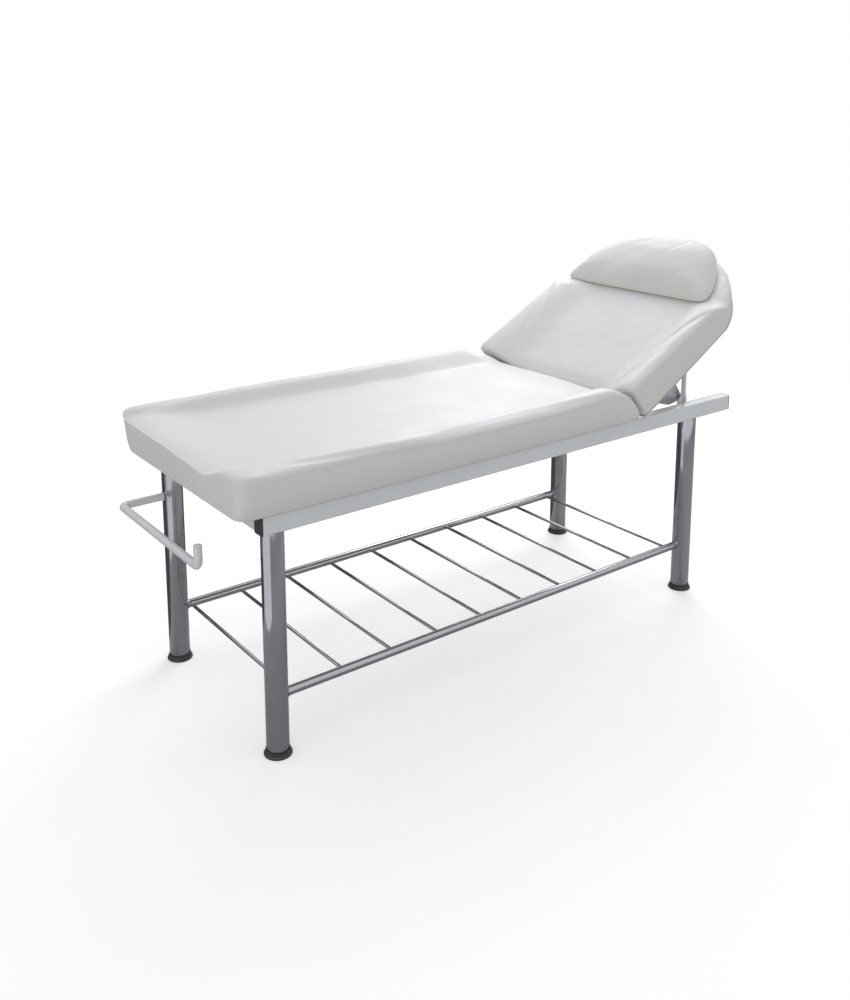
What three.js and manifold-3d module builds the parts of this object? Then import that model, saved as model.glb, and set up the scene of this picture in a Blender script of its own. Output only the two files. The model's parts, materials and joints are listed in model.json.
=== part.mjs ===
// A two-section treatment table. Four chrome legs with flared black feet carry a white steel frame,
// a shelf of chrome rods joins the legs, and two padded sections lie on the frame. The head section
// tilts on two hinges and is propped by a U-shaped stay whose pegs drop into notched racks.
// Lengths are in millimetres and angles in degrees. X runs from the foot to the head, Y from the
// lying person's left to their right, and Z up from the floor.
import * as THREE from "three";
import { mergeVertices } from "three/addons/utils/BufferGeometryUtils.js";
import Module from "manifold-3d";

const wasm = await Module();
wasm.setup();

// Clearances
const seatGap = 0.3;
const boardGap = 0.5;
const openPivotGap = 0.8;
const cutOverrun = 5;

// Legs and feet
const legSpacingLength = 1416;
const legSpacingWidth = 540;
const legDiameter = 54;
const legWall = 2;
const footHeight = 15;
const footSole = 5;
const footDiameter = 67;
const footCollarDiameter = 58.5;
const footSkirt = 3.5;
const legPlugThickness = 8;

// Frame of rectangular steel tube
const railTopHeight = 594;
const railHeight = 45;
const railWidth = 36;
const railWall = 2;
const railCorner = 4;
const railFootReach = 35.5;
const railHeadReach = 160.5;
const capFlange = 3.5;
const capPlug = 14;
const midCrossRailX = -161;
const hingeCrossRailX = 403;

// Bolts that hold the legs to the frame
const legBoltDiameter = 10;
const legBoltHeadDiameter = 16;
const legBoltHeadHeight = 8;
const legBoltReach = 24;
const boltAccessDiameter = 19;

// Shelf of rods between the legs
const shelfHeight = 146;
const shelfTubeDiameter = 22;
const rodDiameter = 9;
const rodCount = 10;
const rodPitchShare = 0.1031;
const rodShiftShare = -0.0099;

// Boards under the cushions
const boardThickness = 12;
const boardInset = 9;
const boardWallGap = 0.6;

// Base cushion
const baseFootX = -811;
const baseHeadX = 434;
const cushionHalfWidth = 334;
const baseDishRise = 79;
const bolsterRise = 28;
const bolsterFootRise = 38;
const bolsterFallStart = -430;
const bolsterFallEnd = -190;
const bolsterInnerEdge = 226;
const bolsterFootInnerEdge = 258;
const bolsterFlareStart = 50;
const bolsterRidge = 302;
const baseFootCorner = 42;
const baseHeadCorner = 8;
const edgeRound = 28;
const edgeDrop = 17;
const baseSideDrawIn = 25;
const endDrawIn = 8;
const noseLength = 130;
const dishCrown = 3;
const pipingRadius = 2.2;
const pipingReach = 60;
const bolsterFootTaper = 62;

// Hinges between the two sections
const hingeX = 449;
const hingeDrop = 4;
const hingeHalfSpanShare = 0.3148;
const hingeLength = 80;
const hingePinDiameter = 6;
const hingeBarrelDiameter = 12;
const hingeLeafThickness = 3;
const hingeLeafReach = 46;
const hingePinHead = 1.6;

// Head section
const restTilt = 31;
const backStart = 5;
const backEnd = 684;
const backCorner = 326;
const backFootCorner = 8;
const backSideDrawIn = 20;
const backEdgeRound = 20;
const backEdgeDrop = 12;
const backBolsterRise = 46;
const backBolsterInner = 205;
const backBolsterRidge = 300;
const backBolsterFadeStart = 300;
const backBolsterFadeEnd = 421;

// Stay, its brackets and the notched racks
const stayDiameter = 14;
const staySideGap = 20;
const stayPivotReach = 312;
const stayPivotDrop = 16;
const stayCrossbarDrop = 60;
const stayEyeReach = 9;
const stopBoltDiameter = 8;
const stopBoltDrop = 144;
const stopBoltReach = 4.6;
const pegDiameter = 8;
const notchDepthBelowRail = 14;
const stayBoltDiameter = 8;
const boltHeadDiameter = 13;
const boltHeadHeight = 4.5;
const bracketThickness = 3;
const bracketFlange = 26;
const bracketStart = 136;
const bracketEnd = 343;
const bracketLobeStart = 150;
const bracketLobeDepth = 144;
const bracketLobeMargin = 11;
const bracketThroat = 46;
const lobeShoulderShare = 0.6;
const lobeKneeShare = 0.84;
const lobeSideShare = 0.72;
const lobeNeckShare = 0.42;
const eyeUndersideShare = 0.8;
const eyeArcStartShare = 0.65;
const bracketEyeRadius = 15;
const shoeThickness = 5;
const shoeHeight = 64;
const shoeHeel = 21;
const shoeToe = 14;
const shoeToeHeight = 18;
const shoeDrop = 8;
const rackThickness = 4;
const rackHeight = 34;
const rackTopDrop = 1.5;
const rackLead = 18;
const rackNotches = 5;
const rackPitch = 30;
const rackSlack = 1;

// Paper-roll holder on the far foot leg
const holderDiameter = 20;
const holderDrop = 83;
const holderReach = 112;
const holderRun = 452;
const holderUpstand = 50;
const holderBend = 16;
const holderCapThickness = 2.5;

// Head pillow
const pillowStart = 424;
const pillowEnd = 702;
const pillowHalfWidth = 288;
const pillowShift = 22;
const pillowThickness = 54;
const pillowSeamHeight = 18;
const pillowFootCorner = 24;
const pillowHeadCorner = 244;
const pillowEdgeTuck = 12;

// Facets
const legSides = 32;
const tubeSides = 16;
const rodSides = 12;
const boltSides = 16;
const bendSteps = 5;
const cornerSteps = 6;
const tightCornerSteps = 2;
const mergeShare = 1 / 300;

// Places that follow from the sizes above
const legX = legSpacingLength / 2;
const legY = legSpacingWidth / 2;
const legRadius = legDiameter / 2;
const railBottom = railTopHeight - railHeight;
const rodPitch = legSpacingLength * rodPitchShare;
const rodShift = legSpacingLength * rodShiftShare;
const hingeHalfSpan = legSpacingWidth * hingeHalfSpanShare;
const holderHeight = railBottom - holderDrop;
const railOuterY = legY + legRadius;
const railInnerY = railOuterY - railWidth;
const railCentreY = railOuterY - railWidth / 2;
const stayHalfWidth = railInnerY - staySideGap;
const railFootX = -legX - railFootReach;
const railHeadX = legX + railHeadReach;
const cushionBottom = railTopHeight + boardGap;
const hingeHeight = cushionBottom - hingeDrop;
const baseDish = cushionBottom + baseDishRise;
const notchHeight = railTopHeight - notchDepthBelowRail;

// Turns a closed geometry into a solid that can be joined and cut.
function solid(geometry) {
  const bare = geometry.index ? geometry.toNonIndexed() : geometry.clone();
  bare.deleteAttribute("normal");
  bare.deleteAttribute("uv");
  const merged = mergeVertices(bare, seatGap * mergeShare);
  return new wasm.Manifold(
    new wasm.Mesh({
      numProp: 3,
      vertProperties: merged.attributes.position.array,
      triVerts: new Uint32Array(merged.index.array),
    }),
  );
}

// Turns a solid back into a geometry.
function geometryOf(body) {
  const mesh = body.getMesh();
  const geometry = new THREE.BufferGeometry();
  geometry.setAttribute("position", new THREE.BufferAttribute(mesh.vertProperties, 3));
  geometry.setIndex(new THREE.BufferAttribute(mesh.triVerts, 1));
  geometry.computeVertexNormals();
  return geometry;
}

// Joins closed geometries into one.
function joined(geometries) {
  return geometryOf(geometries.map(solid).reduce((whole, piece) => whole.add(piece)));
}

// Cuts closed geometries out of another.
function cut(geometry, cutters) {
  return geometryOf(cutters.map(solid).reduce((whole, cutter) => whole.subtract(cutter), solid(geometry)));
}

// A box given by its lowest and highest corners.
function boxBetween(low, high) {
  const size = new THREE.Vector3().subVectors(high, low);
  const centre = new THREE.Vector3().addVectors(low, high).multiplyScalar(1 / 2);
  return new THREE.BoxGeometry(size.x, size.y, size.z).translate(centre.x, centre.y, centre.z);
}

// A round bar from one point to another.
function bar(start, end, radius, sides) {
  const along = new THREE.Vector3().subVectors(end, start);
  const geometry = new THREE.CylinderGeometry(radius, radius, along.length(), sides);
  const turn = new THREE.Quaternion().setFromUnitVectors(
    new THREE.Vector3(0, 1, 0),
    along.clone().normalize(),
  );
  const middle = new THREE.Vector3().addVectors(start, end).multiplyScalar(1 / 2);
  return geometry.applyQuaternion(turn).translate(middle.x, middle.y, middle.z);
}

// A round bar bent at each inner point of a route.
function bentBar(route, radius, bendRadius, sides) {
  const pieces = [];
  let start = route[0];
  for (let i = 1; i < route.length; i += 1) {
    const corner = route[i];
    const into = new THREE.Vector3().subVectors(corner, route[i - 1]).normalize();
    if (i === route.length - 1) {
      pieces.push(bar(start, corner, radius, sides));
      break;
    }
    const outOf = new THREE.Vector3().subVectors(route[i + 1], corner).normalize();
    const bendStart = corner.clone().addScaledVector(into, -bendRadius);
    const bendEnd = corner.clone().addScaledVector(outOf, bendRadius);
    pieces.push(bar(start, bendStart.clone().addScaledVector(into, seatGap), radius, sides));
    pieces.push(bend(bendStart, bendEnd, into, outOf, radius, bendRadius, sides));
    start = bendEnd.clone().addScaledVector(outOf, -seatGap);
  }
  return joined(pieces);
}

// A quarter of a ring of round bar, between two straights.
function bend(start, end, into, outOf, radius, bendRadius, sides) {
  const centre = start.clone().addScaledVector(outOf, bendRadius);
  const path = new THREE.Curve();
  path.getPoint = (t) => {
    const angle = (t * Math.PI) / 2;
    return centre
      .clone()
      .addScaledVector(outOf, -bendRadius * Math.cos(angle))
      .addScaledVector(into, bendRadius * Math.sin(angle));
  };
  const section = new THREE.Shape();
  section.absarc(0, 0, radius, 0, 2 * Math.PI);
  return new THREE.ExtrudeGeometry(section, {
    steps: bendSteps,
    extrudePath: path,
    curveSegments: sides,
  });
}

// A rectangle with rounded corners, centred on the origin.
function roundedRectangle(width, height, radius) {
  const x = width / 2;
  const y = height / 2;
  const shape = new THREE.Shape();
  shape.moveTo(radius - x, -y);
  shape.lineTo(x - radius, -y);
  shape.absarc(x - radius, radius - y, radius, -Math.PI / 2, 0);
  shape.lineTo(x, y - radius);
  shape.absarc(x - radius, y - radius, radius, 0, Math.PI / 2);
  shape.lineTo(radius - x, y);
  shape.absarc(radius - x, y - radius, radius, Math.PI / 2, Math.PI);
  shape.lineTo(-x, radius - y);
  shape.absarc(radius - x, radius - y, radius, Math.PI, (3 * Math.PI) / 2);
  return shape;
}

// Rectangular tube along X, open at both ends.
function tubeAlongX(startX, endX, centreY, centreZ) {
  const profile = roundedRectangle(railWidth, railHeight, railCorner);
  const inside = roundedRectangle(
    railWidth - 2 * railWall,
    railHeight - 2 * railWall,
    railCorner - railWall,
  );
  profile.holes.push(inside);
  const geometry = new THREE.ExtrudeGeometry(profile, {
    depth: endX - startX,
    bevelEnabled: false,
    curveSegments: tightCornerSteps,
  });
  return geometry
    .rotateX(Math.PI / 2)
    .rotateZ(Math.PI / 2)
    .translate(startX, centreY, centreZ);
}

// An outline drawn in X and Z, given a thickness along Y.
function plateAlongY(shape, startY, thickness, curveSegments) {
  const geometry = new THREE.ExtrudeGeometry(shape, {
    depth: thickness,
    bevelEnabled: false,
    curveSegments,
  });
  return geometry.rotateX(Math.PI / 2).translate(0, startY + thickness, 0);
}

// A closed body through loops of points that lie one above the other, closed at both ends.
function lofted(loops, bottomCentre, topCentre) {
  const count = loops[0].length;
  const points = loops.flat().concat([bottomCentre, topCentre]);
  const bottom = points.length - 2;
  const top = points.length - 1;
  const faces = [];
  for (let k = 0; k + 1 < loops.length; k += 1) {
    for (let i = 0; i < count; i += 1) {
      const next = (i + 1) % count;
      const a = k * count + i;
      const b = k * count + next;
      faces.push(a, b, b + count, a, b + count, a + count);
    }
  }
  const last = (loops.length - 1) * count;
  for (let i = 0; i < count; i += 1) {
    const next = (i + 1) % count;
    faces.push(bottom, next, i);
    faces.push(top, last + i, last + next);
  }
  const geometry = new THREE.BufferGeometry().setFromPoints(points);
  geometry.setIndex(faces);
  geometry.computeVertexNormals();
  return geometry;
}

// A loop of plan points round a cushion, anticlockwise from above, drawn in at its ends and sides.
function planLoop(plan, endInset, sideInset) {
  const shrink = 1 - (plan.cornerShrinkShare * Math.max(sideInset, 0)) / plan.deepestInset;
  const foot = plan.footCorner * shrink;
  const head = plan.headCorner * shrink;
  const lowX = plan.footX + endInset;
  const highX = plan.headX - endInset;
  const side = plan.halfWidth - sideInset;
  const loop = [];
  const corner = (x, y, radius, startAngle, steps) => {
    for (let i = 0; i <= steps; i += 1) {
      const angle = startAngle + ((Math.PI / 2) * i) / steps;
      loop.push(new THREE.Vector2(x + radius * Math.cos(angle), y + radius * Math.sin(angle)));
    }
  };
  corner(lowX + foot, foot - side, foot, Math.PI, plan.footSteps);
  plan.lengthShares.forEach((share) => {
    loop.push(new THREE.Vector2(THREE.MathUtils.lerp(lowX + foot, highX - head, share), -side));
  });
  corner(highX - head, head - side, head, -Math.PI / 2, plan.headSteps);
  plan.widthShares.forEach((share) => {
    loop.push(new THREE.Vector2(highX, THREE.MathUtils.lerp(head - side, side - head, share)));
  });
  corner(highX - head, side - head, head, 0, plan.headSteps);
  [...plan.lengthShares].reverse().forEach((share) => {
    loop.push(new THREE.Vector2(THREE.MathUtils.lerp(lowX + foot, highX - head, share), side));
  });
  corner(lowX + foot, side - foot, foot, Math.PI / 2, plan.footSteps);
  plan.widthShares.forEach((share) => {
    loop.push(new THREE.Vector2(lowX, THREE.MathUtils.lerp(side - foot, foot - side, share)));
  });
  return loop;
}

// A cushion: side loops from its bottom edge to its top edge, then loops across its top.
function cushion(plan, bottomZ, sideShares, insets, topOf, dropOf) {
  const edgeZ = (p) => topOf(p) - dropOf(p, 0);
  const sides = sideShares.map(([heightShare, drawShare, pipingShare]) => {
    const inner = planLoop(plan, plan.endDraw * drawShare, plan.sideDraw * drawShare);
    const outer = planLoop(
      plan,
      plan.endDraw * drawShare - pipingRadius,
      plan.sideDraw * drawShare - pipingRadius,
    );
    const loop = inner.map((p, i) => p.lerp(outer[i], pipingShare * plan.pipingShareAt(p)));
    return loop.map(
      (p) => new THREE.Vector3(p.x, p.y, THREE.MathUtils.lerp(bottomZ, edgeZ(p), heightShare)),
    );
  });
  const tops = insets.map((inset) =>
    planLoop(plan, inset, inset).map(
      (p) => new THREE.Vector3(p.x, p.y, topOf(p) - dropOf(p, inset)),
    ),
  );
  const centreX = (plan.footX + plan.headX) / 2;
  const centre = new THREE.Vector2(centreX, 0);
  return lofted(
    sides.concat(tops),
    new THREE.Vector3(centreX, 0, bottomZ),
    new THREE.Vector3(centreX, 0, topOf(centre) + plan.crown),
  );
}

// How far the top of a rounded edge has fallen at an inset from the side.
function roundedDrop(inset, radius, drop) {
  const share = Math.max(0, 1 - inset / radius);
  return drop * (1 - Math.sqrt(1 - share * share));
}

// Materials
const chrome = new THREE.MeshStandardMaterial({ color: 0xb9bcc0, roughness: 0.12, metalness: 1 });
const whitePaint = new THREE.MeshStandardMaterial({ color: 0xd9dcdd, roughness: 0.35, metalness: 0.1 });
const blackPlastic = new THREE.MeshStandardMaterial({ color: 0x232527, roughness: 0.55, metalness: 0 });
const zincSteel = new THREE.MeshStandardMaterial({ color: 0xa9acae, roughness: 0.3, metalness: 1 });
const whiteLeather = new THREE.MeshStandardMaterial({ color: 0xe9e9e4, roughness: 0.45, metalness: 0 });
const plywood = new THREE.MeshStandardMaterial({ color: 0xb08a5c, roughness: 0.7, metalness: 0 });

const table = new THREE.Group();
table.name = "treatment_table";

// Adds a named piece to a group.
function add(group, name, geometry, material) {
  const mesh = new THREE.Mesh(geometry, material);
  mesh.name = name;
  group.add(mesh);
  return mesh;
}

const sideNames = [
  ["left", -1],
  ["right", 1],
];
const endNames = [
  ["foot", -1],
  ["head", 1],
];

// Legs, feet, plugs and the bolts that go down through the rails
function legGeometry() {
  const height = railBottom - seatGap - footSole - seatGap;
  const tube = new THREE.CylinderGeometry(legRadius, legRadius, height, legSides);
  const bore = new THREE.CylinderGeometry(
    legRadius - legWall,
    legRadius - legWall,
    height + 2 * cutOverrun,
    legSides,
  );
  return cut(tube, [bore])
    .rotateX(Math.PI / 2)
    .translate(0, 0, footSole + seatGap + height / 2);
}

function footGeometry() {
  const collar = footCollarDiameter / 2;
  const flare = footDiameter / 2;
  const socket = legRadius + seatGap;
  const profile = [
    new THREE.Vector2(0, 0),
    new THREE.Vector2(flare - footSkirt / 2, 0),
    new THREE.Vector2(flare, footSkirt / 2),
    new THREE.Vector2(flare, footSkirt),
    new THREE.Vector2((collar + flare) / 2, (footSkirt + footHeight) / 2 - footSkirt / 2),
    new THREE.Vector2(collar, footHeight - footSkirt / 4),
    new THREE.Vector2(socket, footHeight),
    new THREE.Vector2(socket, footSole),
    new THREE.Vector2(0, footSole),
  ];
  return new THREE.LatheGeometry(profile, legSides).rotateX(Math.PI / 2);
}

function legPlugGeometry(sideSign) {
  const radius = legRadius - legWall - seatGap;
  const disc = new THREE.CylinderGeometry(radius, radius, legPlugThickness, legSides);
  const thread = legBoltDiameter / 2 + seatGap;
  const hole = new THREE.CylinderGeometry(
    thread,
    thread,
    legPlugThickness + 2 * cutOverrun,
    boltSides,
  ).translate(0, 0, -sideSign * (railCentreY - legY));
  return cut(disc, [hole])
    .rotateX(Math.PI / 2)
    .translate(0, 0, railBottom - seatGap - legPlugThickness / 2);
}

function legBoltGeometry() {
  const seat = railBottom + railWall + seatGap;
  const bottom = seat - legBoltReach;
  const head = seat + legBoltHeadHeight;
  const profile = [
    new THREE.Vector2(0, bottom),
    new THREE.Vector2(legBoltDiameter / 2, bottom),
    new THREE.Vector2(legBoltDiameter / 2, seat),
    new THREE.Vector2(legBoltHeadDiameter / 2, seat),
    new THREE.Vector2(legBoltHeadDiameter / 2, head),
    new THREE.Vector2(legBoltDiameter / 3, head),
    new THREE.Vector2(legBoltDiameter / 3, head - legBoltHeadHeight / 2),
    new THREE.Vector2(0, head - legBoltHeadHeight / 2),
  ];
  return new THREE.LatheGeometry(profile, boltSides).rotateX(Math.PI / 2);
}

for (const [endName, endSign] of endNames) {
  for (const [sideName, sideSign] of sideNames) {
    const corner = new THREE.Group();
    corner.position.set(endSign * legX, sideSign * legY, 0);
    add(corner, `leg_${endName}_${sideName}`, legGeometry(), chrome);
    add(corner, `foot_pad_${endName}_${sideName}`, footGeometry(), blackPlastic);
    add(corner, `leg_plug_${endName}_${sideName}`, legPlugGeometry(sideSign), zincSteel);
    const bolt = add(corner, `leg_bolt_${endName}_${sideName}`, legBoltGeometry(), zincSteel);
    bolt.position.y = sideSign * (railCentreY - legY);
    table.add(corner);
  }
}

// Side rails, with a hole below for each leg bolt and a wider one above to reach it
function sideRailGeometry(sideSign) {
  const tube = tubeAlongX(railFootX, railHeadX, 0, (railBottom + railTopHeight) / 2);
  const holes = endNames.flatMap(([, endSign]) => {
    const bolt = legBoltDiameter / 2 + seatGap;
    const access = boltAccessDiameter / 2;
    const below = new THREE.CylinderGeometry(bolt, bolt, 2 * cutOverrun, boltSides)
      .rotateX(Math.PI / 2)
      .translate(endSign * legX, 0, railBottom);
    const above = new THREE.CylinderGeometry(access, access, 2 * cutOverrun, boltSides)
      .rotateX(Math.PI / 2)
      .translate(endSign * legX, 0, railTopHeight);
    return [below, above];
  });
  return cut(tube, holes).translate(0, sideSign * railCentreY, 0);
}

// A plug with a flange that closes the end of a rail
function railCapGeometry(endSign) {
  const flange = new THREE.ExtrudeGeometry(roundedRectangle(railWidth, railHeight, railCorner), {
    depth: capFlange,
    bevelEnabled: false,
    curveSegments: tightCornerSteps,
  });
  const plugWidth = railWidth - 2 * railWall - 2 * seatGap;
  const plugHeight = railHeight - 2 * railWall - 2 * seatGap;
  const plug = new THREE.ExtrudeGeometry(
    roundedRectangle(plugWidth, plugHeight, railCorner - railWall),
    { depth: capPlug + capFlange / 2, bevelEnabled: false, curveSegments: tightCornerSteps },
  ).translate(0, 0, -capPlug);
  return joined([flange, plug])
    .rotateX(Math.PI / 2)
    .rotateZ(Math.PI / 2)
    .rotateZ(endSign < 0 ? Math.PI : 0);
}

// A cross rail that butts between the side rails
function crossRailGeometry() {
  const halfSpan = railInnerY - seatGap;
  return tubeAlongX(-halfSpan, halfSpan, 0, (railBottom + railTopHeight) / 2).rotateZ(Math.PI / 2);
}

for (const [sideName, sideSign] of sideNames) {
  add(table, `side_rail_${sideName}`, sideRailGeometry(sideSign), whitePaint);
  for (const [endName, endSign] of endNames) {
    const cap = add(
      table,
      `rail_cap_${endName}_${sideName}`,
      railCapGeometry(endSign),
      blackPlastic,
    );
    const railEnd = endSign < 0 ? railFootX - seatGap : railHeadX + seatGap;
    cap.position.set(railEnd, sideSign * railCentreY, (railBottom + railTopHeight) / 2);
  }
}
const crossRails = [
  ["foot_cross_rail", railFootX + railWidth / 2],
  ["middle_cross_rail", midCrossRailX],
  ["hinge_cross_rail", hingeCrossRailX],
];
for (const [name, x] of crossRails) {
  add(table, name, crossRailGeometry(), whitePaint).position.x = x;
}

// Shelf: a tube between the legs on each side, and rods between the two tubes
function shelfTubeGeometry(sideSign) {
  const y = sideSign * legY;
  const tube = bar(
    new THREE.Vector3(-legX, y, shelfHeight),
    new THREE.Vector3(legX, y, shelfHeight),
    shelfTubeDiameter / 2,
    tubeSides,
  );
  const cope = legRadius + seatGap;
  const legCuts = endNames.map(([, endSign]) =>
    new THREE.CylinderGeometry(cope, cope, shelfTubeDiameter + 2 * cutOverrun, legSides)
      .rotateX(Math.PI / 2)
      .translate(endSign * legX, y, shelfHeight),
  );
  return cut(tube, legCuts);
}

function shelfRodGeometry() {
  const rod = bar(
    new THREE.Vector3(0, -legY, shelfHeight),
    new THREE.Vector3(0, legY, shelfHeight),
    rodDiameter / 2,
    rodSides,
  );
  const cope = shelfTubeDiameter / 2 + seatGap;
  const halfCut = rodDiameter / 2 + cutOverrun;
  const tubeCuts = sideNames.map(([, sideSign]) =>
    bar(
      new THREE.Vector3(-halfCut, sideSign * legY, shelfHeight),
      new THREE.Vector3(halfCut, sideSign * legY, shelfHeight),
      cope,
      tubeSides,
    ),
  );
  const inner = geometryOf(
    solid(rod).intersect(
      solid(
        boxBetween(
          new THREE.Vector3(-halfCut, -legY, shelfHeight - halfCut),
          new THREE.Vector3(halfCut, legY, shelfHeight + halfCut),
        ),
      ),
    ),
  );
  return cut(inner, tubeCuts);
}

for (const [sideName, sideSign] of sideNames) {
  add(table, `shelf_tube_${sideName}`, shelfTubeGeometry(sideSign), chrome);
}
for (let i = 0; i < rodCount; i += 1) {
  const rod = add(table, `shelf_rod_${i + 1}`, shelfRodGeometry(), chrome);
  rod.position.x = rodShift + (i - (rodCount - 1) / 2) * rodPitch;
}

// Paper-roll holder: out from the leg, across the foot end, and up at its free end
function holderGeometry() {
  const start = new THREE.Vector3(-legX, legY, holderHeight);
  const outer = new THREE.Vector3(-legX - legRadius - holderReach, legY, holderHeight);
  const free = new THREE.Vector3(outer.x, legY - holderRun, holderHeight);
  const top = new THREE.Vector3(free.x, free.y, holderHeight + holderUpstand);
  const tube = bentBar([start, outer, free, top], holderDiameter / 2, holderBend, tubeSides);
  const cope = legRadius + seatGap;
  const legCut = new THREE.CylinderGeometry(cope, cope, holderDiameter + 2 * cutOverrun, legSides)
    .rotateX(Math.PI / 2)
    .translate(-legX, legY, holderHeight);
  return cut(tube, [legCut]);
}

add(table, "roll_holder", holderGeometry(), whitePaint);
const holderCap = new THREE.CylinderGeometry(
  holderDiameter / 2,
  holderDiameter / 2,
  holderCapThickness,
  tubeSides,
).rotateX(Math.PI / 2);
add(table, "roll_holder_cap", holderCap, whitePaint).position.set(
  -legX - legRadius - holderReach,
  legY - holderRun,
  holderHeight + holderUpstand + seatGap + holderCapThickness / 2,
);

// Base section: a plywood board in the underside of a padded cushion with a raised edge each side
const baseLengthShares = [0.05, 0.14, 0.28, 0.43, 0.58, 0.72, 0.83, 0.89, 0.925, 0.95, 0.97, 0.985, 0.994];
const widthShares = [0.06, 0.12, 0.2, 0.32, 0.5, 0.68, 0.8, 0.88, 0.94];
const sideProfileShares = [
  [0, 1, 0],
  [0.1, 0.62, 0],
  [0.3, 0.2, 0],
  [0.58, 0, 0],
  [0.9, 0, 0],
  [0.93, 0, 1],
  [0.985, 0, 1],
];
const topInsetShares = [0, 0.06, 0.16, 0.3, 0.45, 0.6, 0.78, 1];
const deepestInset = 128;
const topInsets = topInsetShares.map((share) => share * deepestInset);

const basePlan = {
  footX: baseFootX,
  headX: baseHeadX,
  halfWidth: cushionHalfWidth,
  footCorner: baseFootCorner,
  headCorner: baseHeadCorner,
  footSteps: cornerSteps,
  headSteps: tightCornerSteps,
  lengthShares: baseLengthShares,
  widthShares,
  endDraw: endDrawIn,
  sideDraw: baseSideDrawIn,
  deepestInset,
  cornerShrinkShare: 0.6,
  crown: dishCrown,
  pipingShareAt: (p) => 1 - THREE.MathUtils.smoothstep(p.x - baseFootX, 0, pipingReach),
};

// The share of the raised edge's full height at a distance from the centre line.
function bolsterShare(y, inner, ridge) {
  return THREE.MathUtils.smoothstep(Math.abs(y), inner, ridge);
}

// The rounded head end of the base cushion: a quarter ellipse from its bottom to its raised edges.
function noseHeight(x) {
  const start = baseHeadX - noseLength;
  const share = THREE.MathUtils.clamp((x - start) / noseLength, 0, 1);
  const noseRise = baseDishRise + bolsterRise;
  return cushionBottom + noseRise * Math.sqrt(Math.max(0, 1 - share * share));
}

// The hollow between the raised edges widens towards the foot.
function bolsterInnerAt(x) {
  const share = THREE.MathUtils.smoothstep(x, baseFootX, bolsterFlareStart);
  return THREE.MathUtils.lerp(bolsterFootInnerEdge, bolsterInnerEdge, share);
}

// Each raised edge tapers down at its foot end.
const footTaperShare = 0.55;

// Each raised edge is higher over the lower legs than over the hips.
function bolsterRiseAt(x) {
  const fall = THREE.MathUtils.smoothstep(x, bolsterFallStart, bolsterFallEnd);
  return THREE.MathUtils.lerp(bolsterFootRise, bolsterRise, fall);
}

function baseTop(p) {
  const along = THREE.MathUtils.smoothstep(p.x - baseFootX, 0, bolsterFootTaper);
  const taper = THREE.MathUtils.lerp(footTaperShare, 1, along);
  const share = bolsterShare(p.y, bolsterInnerAt(p.x), bolsterRidge) * taper;
  return Math.min(baseDish + bolsterRiseAt(p.x) * share, noseHeight(p.x));
}

const footEdgeDropShare = 0.3;

function baseDropAt(p, inset) {
  const share = bolsterShare(p.y, bolsterInnerAt(p.x), bolsterRidge);
  const nose = THREE.MathUtils.smoothstep(baseHeadX - p.x, 0, noseLength);
  const drop = edgeDrop * THREE.MathUtils.lerp(footEdgeDropShare, 1, share);
  return roundedDrop(inset, edgeRound, drop) * nose;
}

const headFaceShare = 0.16;

// Keeps a low upright face at the foot of the rounded head end.
function baseTopWithFace(p) {
  const face = cushionBottom + baseDishRise * headFaceShare;
  return Math.max(baseTop(p), face);
}

// A board and the recess that it sits in, for a cushion with its underside at a height.
function boardBox(startX, endX, halfWidth, bottomZ, grow) {
  return boxBetween(
    new THREE.Vector3(startX - grow, -halfWidth - grow, bottomZ - (grow > 0 ? cutOverrun : 0)),
    new THREE.Vector3(endX + grow, halfWidth + grow, bottomZ + boardThickness + grow),
  );
}

const baseBoardHalf = cushionHalfWidth - baseSideDrawIn - boardInset;
const baseBoardStart = baseFootX + endDrawIn + baseFootCorner / 3 + boardInset;
const baseBoardEnd = baseHeadX - endDrawIn - boardInset;
const baseBoardZ = railTopHeight + seatGap;

add(
  table,
  "base_board",
  boardBox(baseBoardStart, baseBoardEnd, baseBoardHalf, baseBoardZ, 0),
  plywood,
);
const baseCushionBody = cushion(
  basePlan,
  cushionBottom,
  sideProfileShares,
  topInsets,
  baseTopWithFace,
  baseDropAt,
);
add(
  table,
  "base_cushion",
  cut(baseCushionBody, [
    boardBox(baseBoardStart, baseBoardEnd, baseBoardHalf, baseBoardZ, boardWallGap),
  ]),
  whiteLeather,
);

// Hinge leaves with interlocking knuckles on one pin
function hingeLeafGeometry(direction, reach, leafTop, segments) {
  const barrel = hingeBarrelDiameter / 2;
  const leaf = boxBetween(
    new THREE.Vector3(direction < 0 ? -reach : 0, -hingeLength / 2, leafTop - hingeLeafThickness),
    new THREE.Vector3(direction < 0 ? 0 : reach, hingeLength / 2, leafTop),
  );
  const knuckle = bar(
    new THREE.Vector3(0, -hingeLength / 2, 0),
    new THREE.Vector3(0, hingeLength / 2, 0),
    barrel,
    boltSides,
  );
  const bore = hingePinDiameter / 2 + seatGap;
  const pinHole = bar(
    new THREE.Vector3(0, -hingeLength, 0),
    new THREE.Vector3(0, hingeLength, 0),
    bore,
    boltSides,
  );
  const clear = barrel + 2 * seatGap;
  const gaps = segments.map(([from, to]) =>
    boxBetween(
      new THREE.Vector3(-clear, from * hingeLength - seatGap / 2, -clear),
      new THREE.Vector3(clear, to * hingeLength + seatGap / 2, clear),
    ),
  );
  return cut(joined([leaf, knuckle]), [pinHole, ...gaps]);
}

const outerKnuckleShares = [[-1 / 6, 1 / 6]];
const innerKnuckleShares = [
  [-1 / 2 - 1 / 10, -1 / 6],
  [1 / 6, 1 / 2 + 1 / 10],
];

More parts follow.
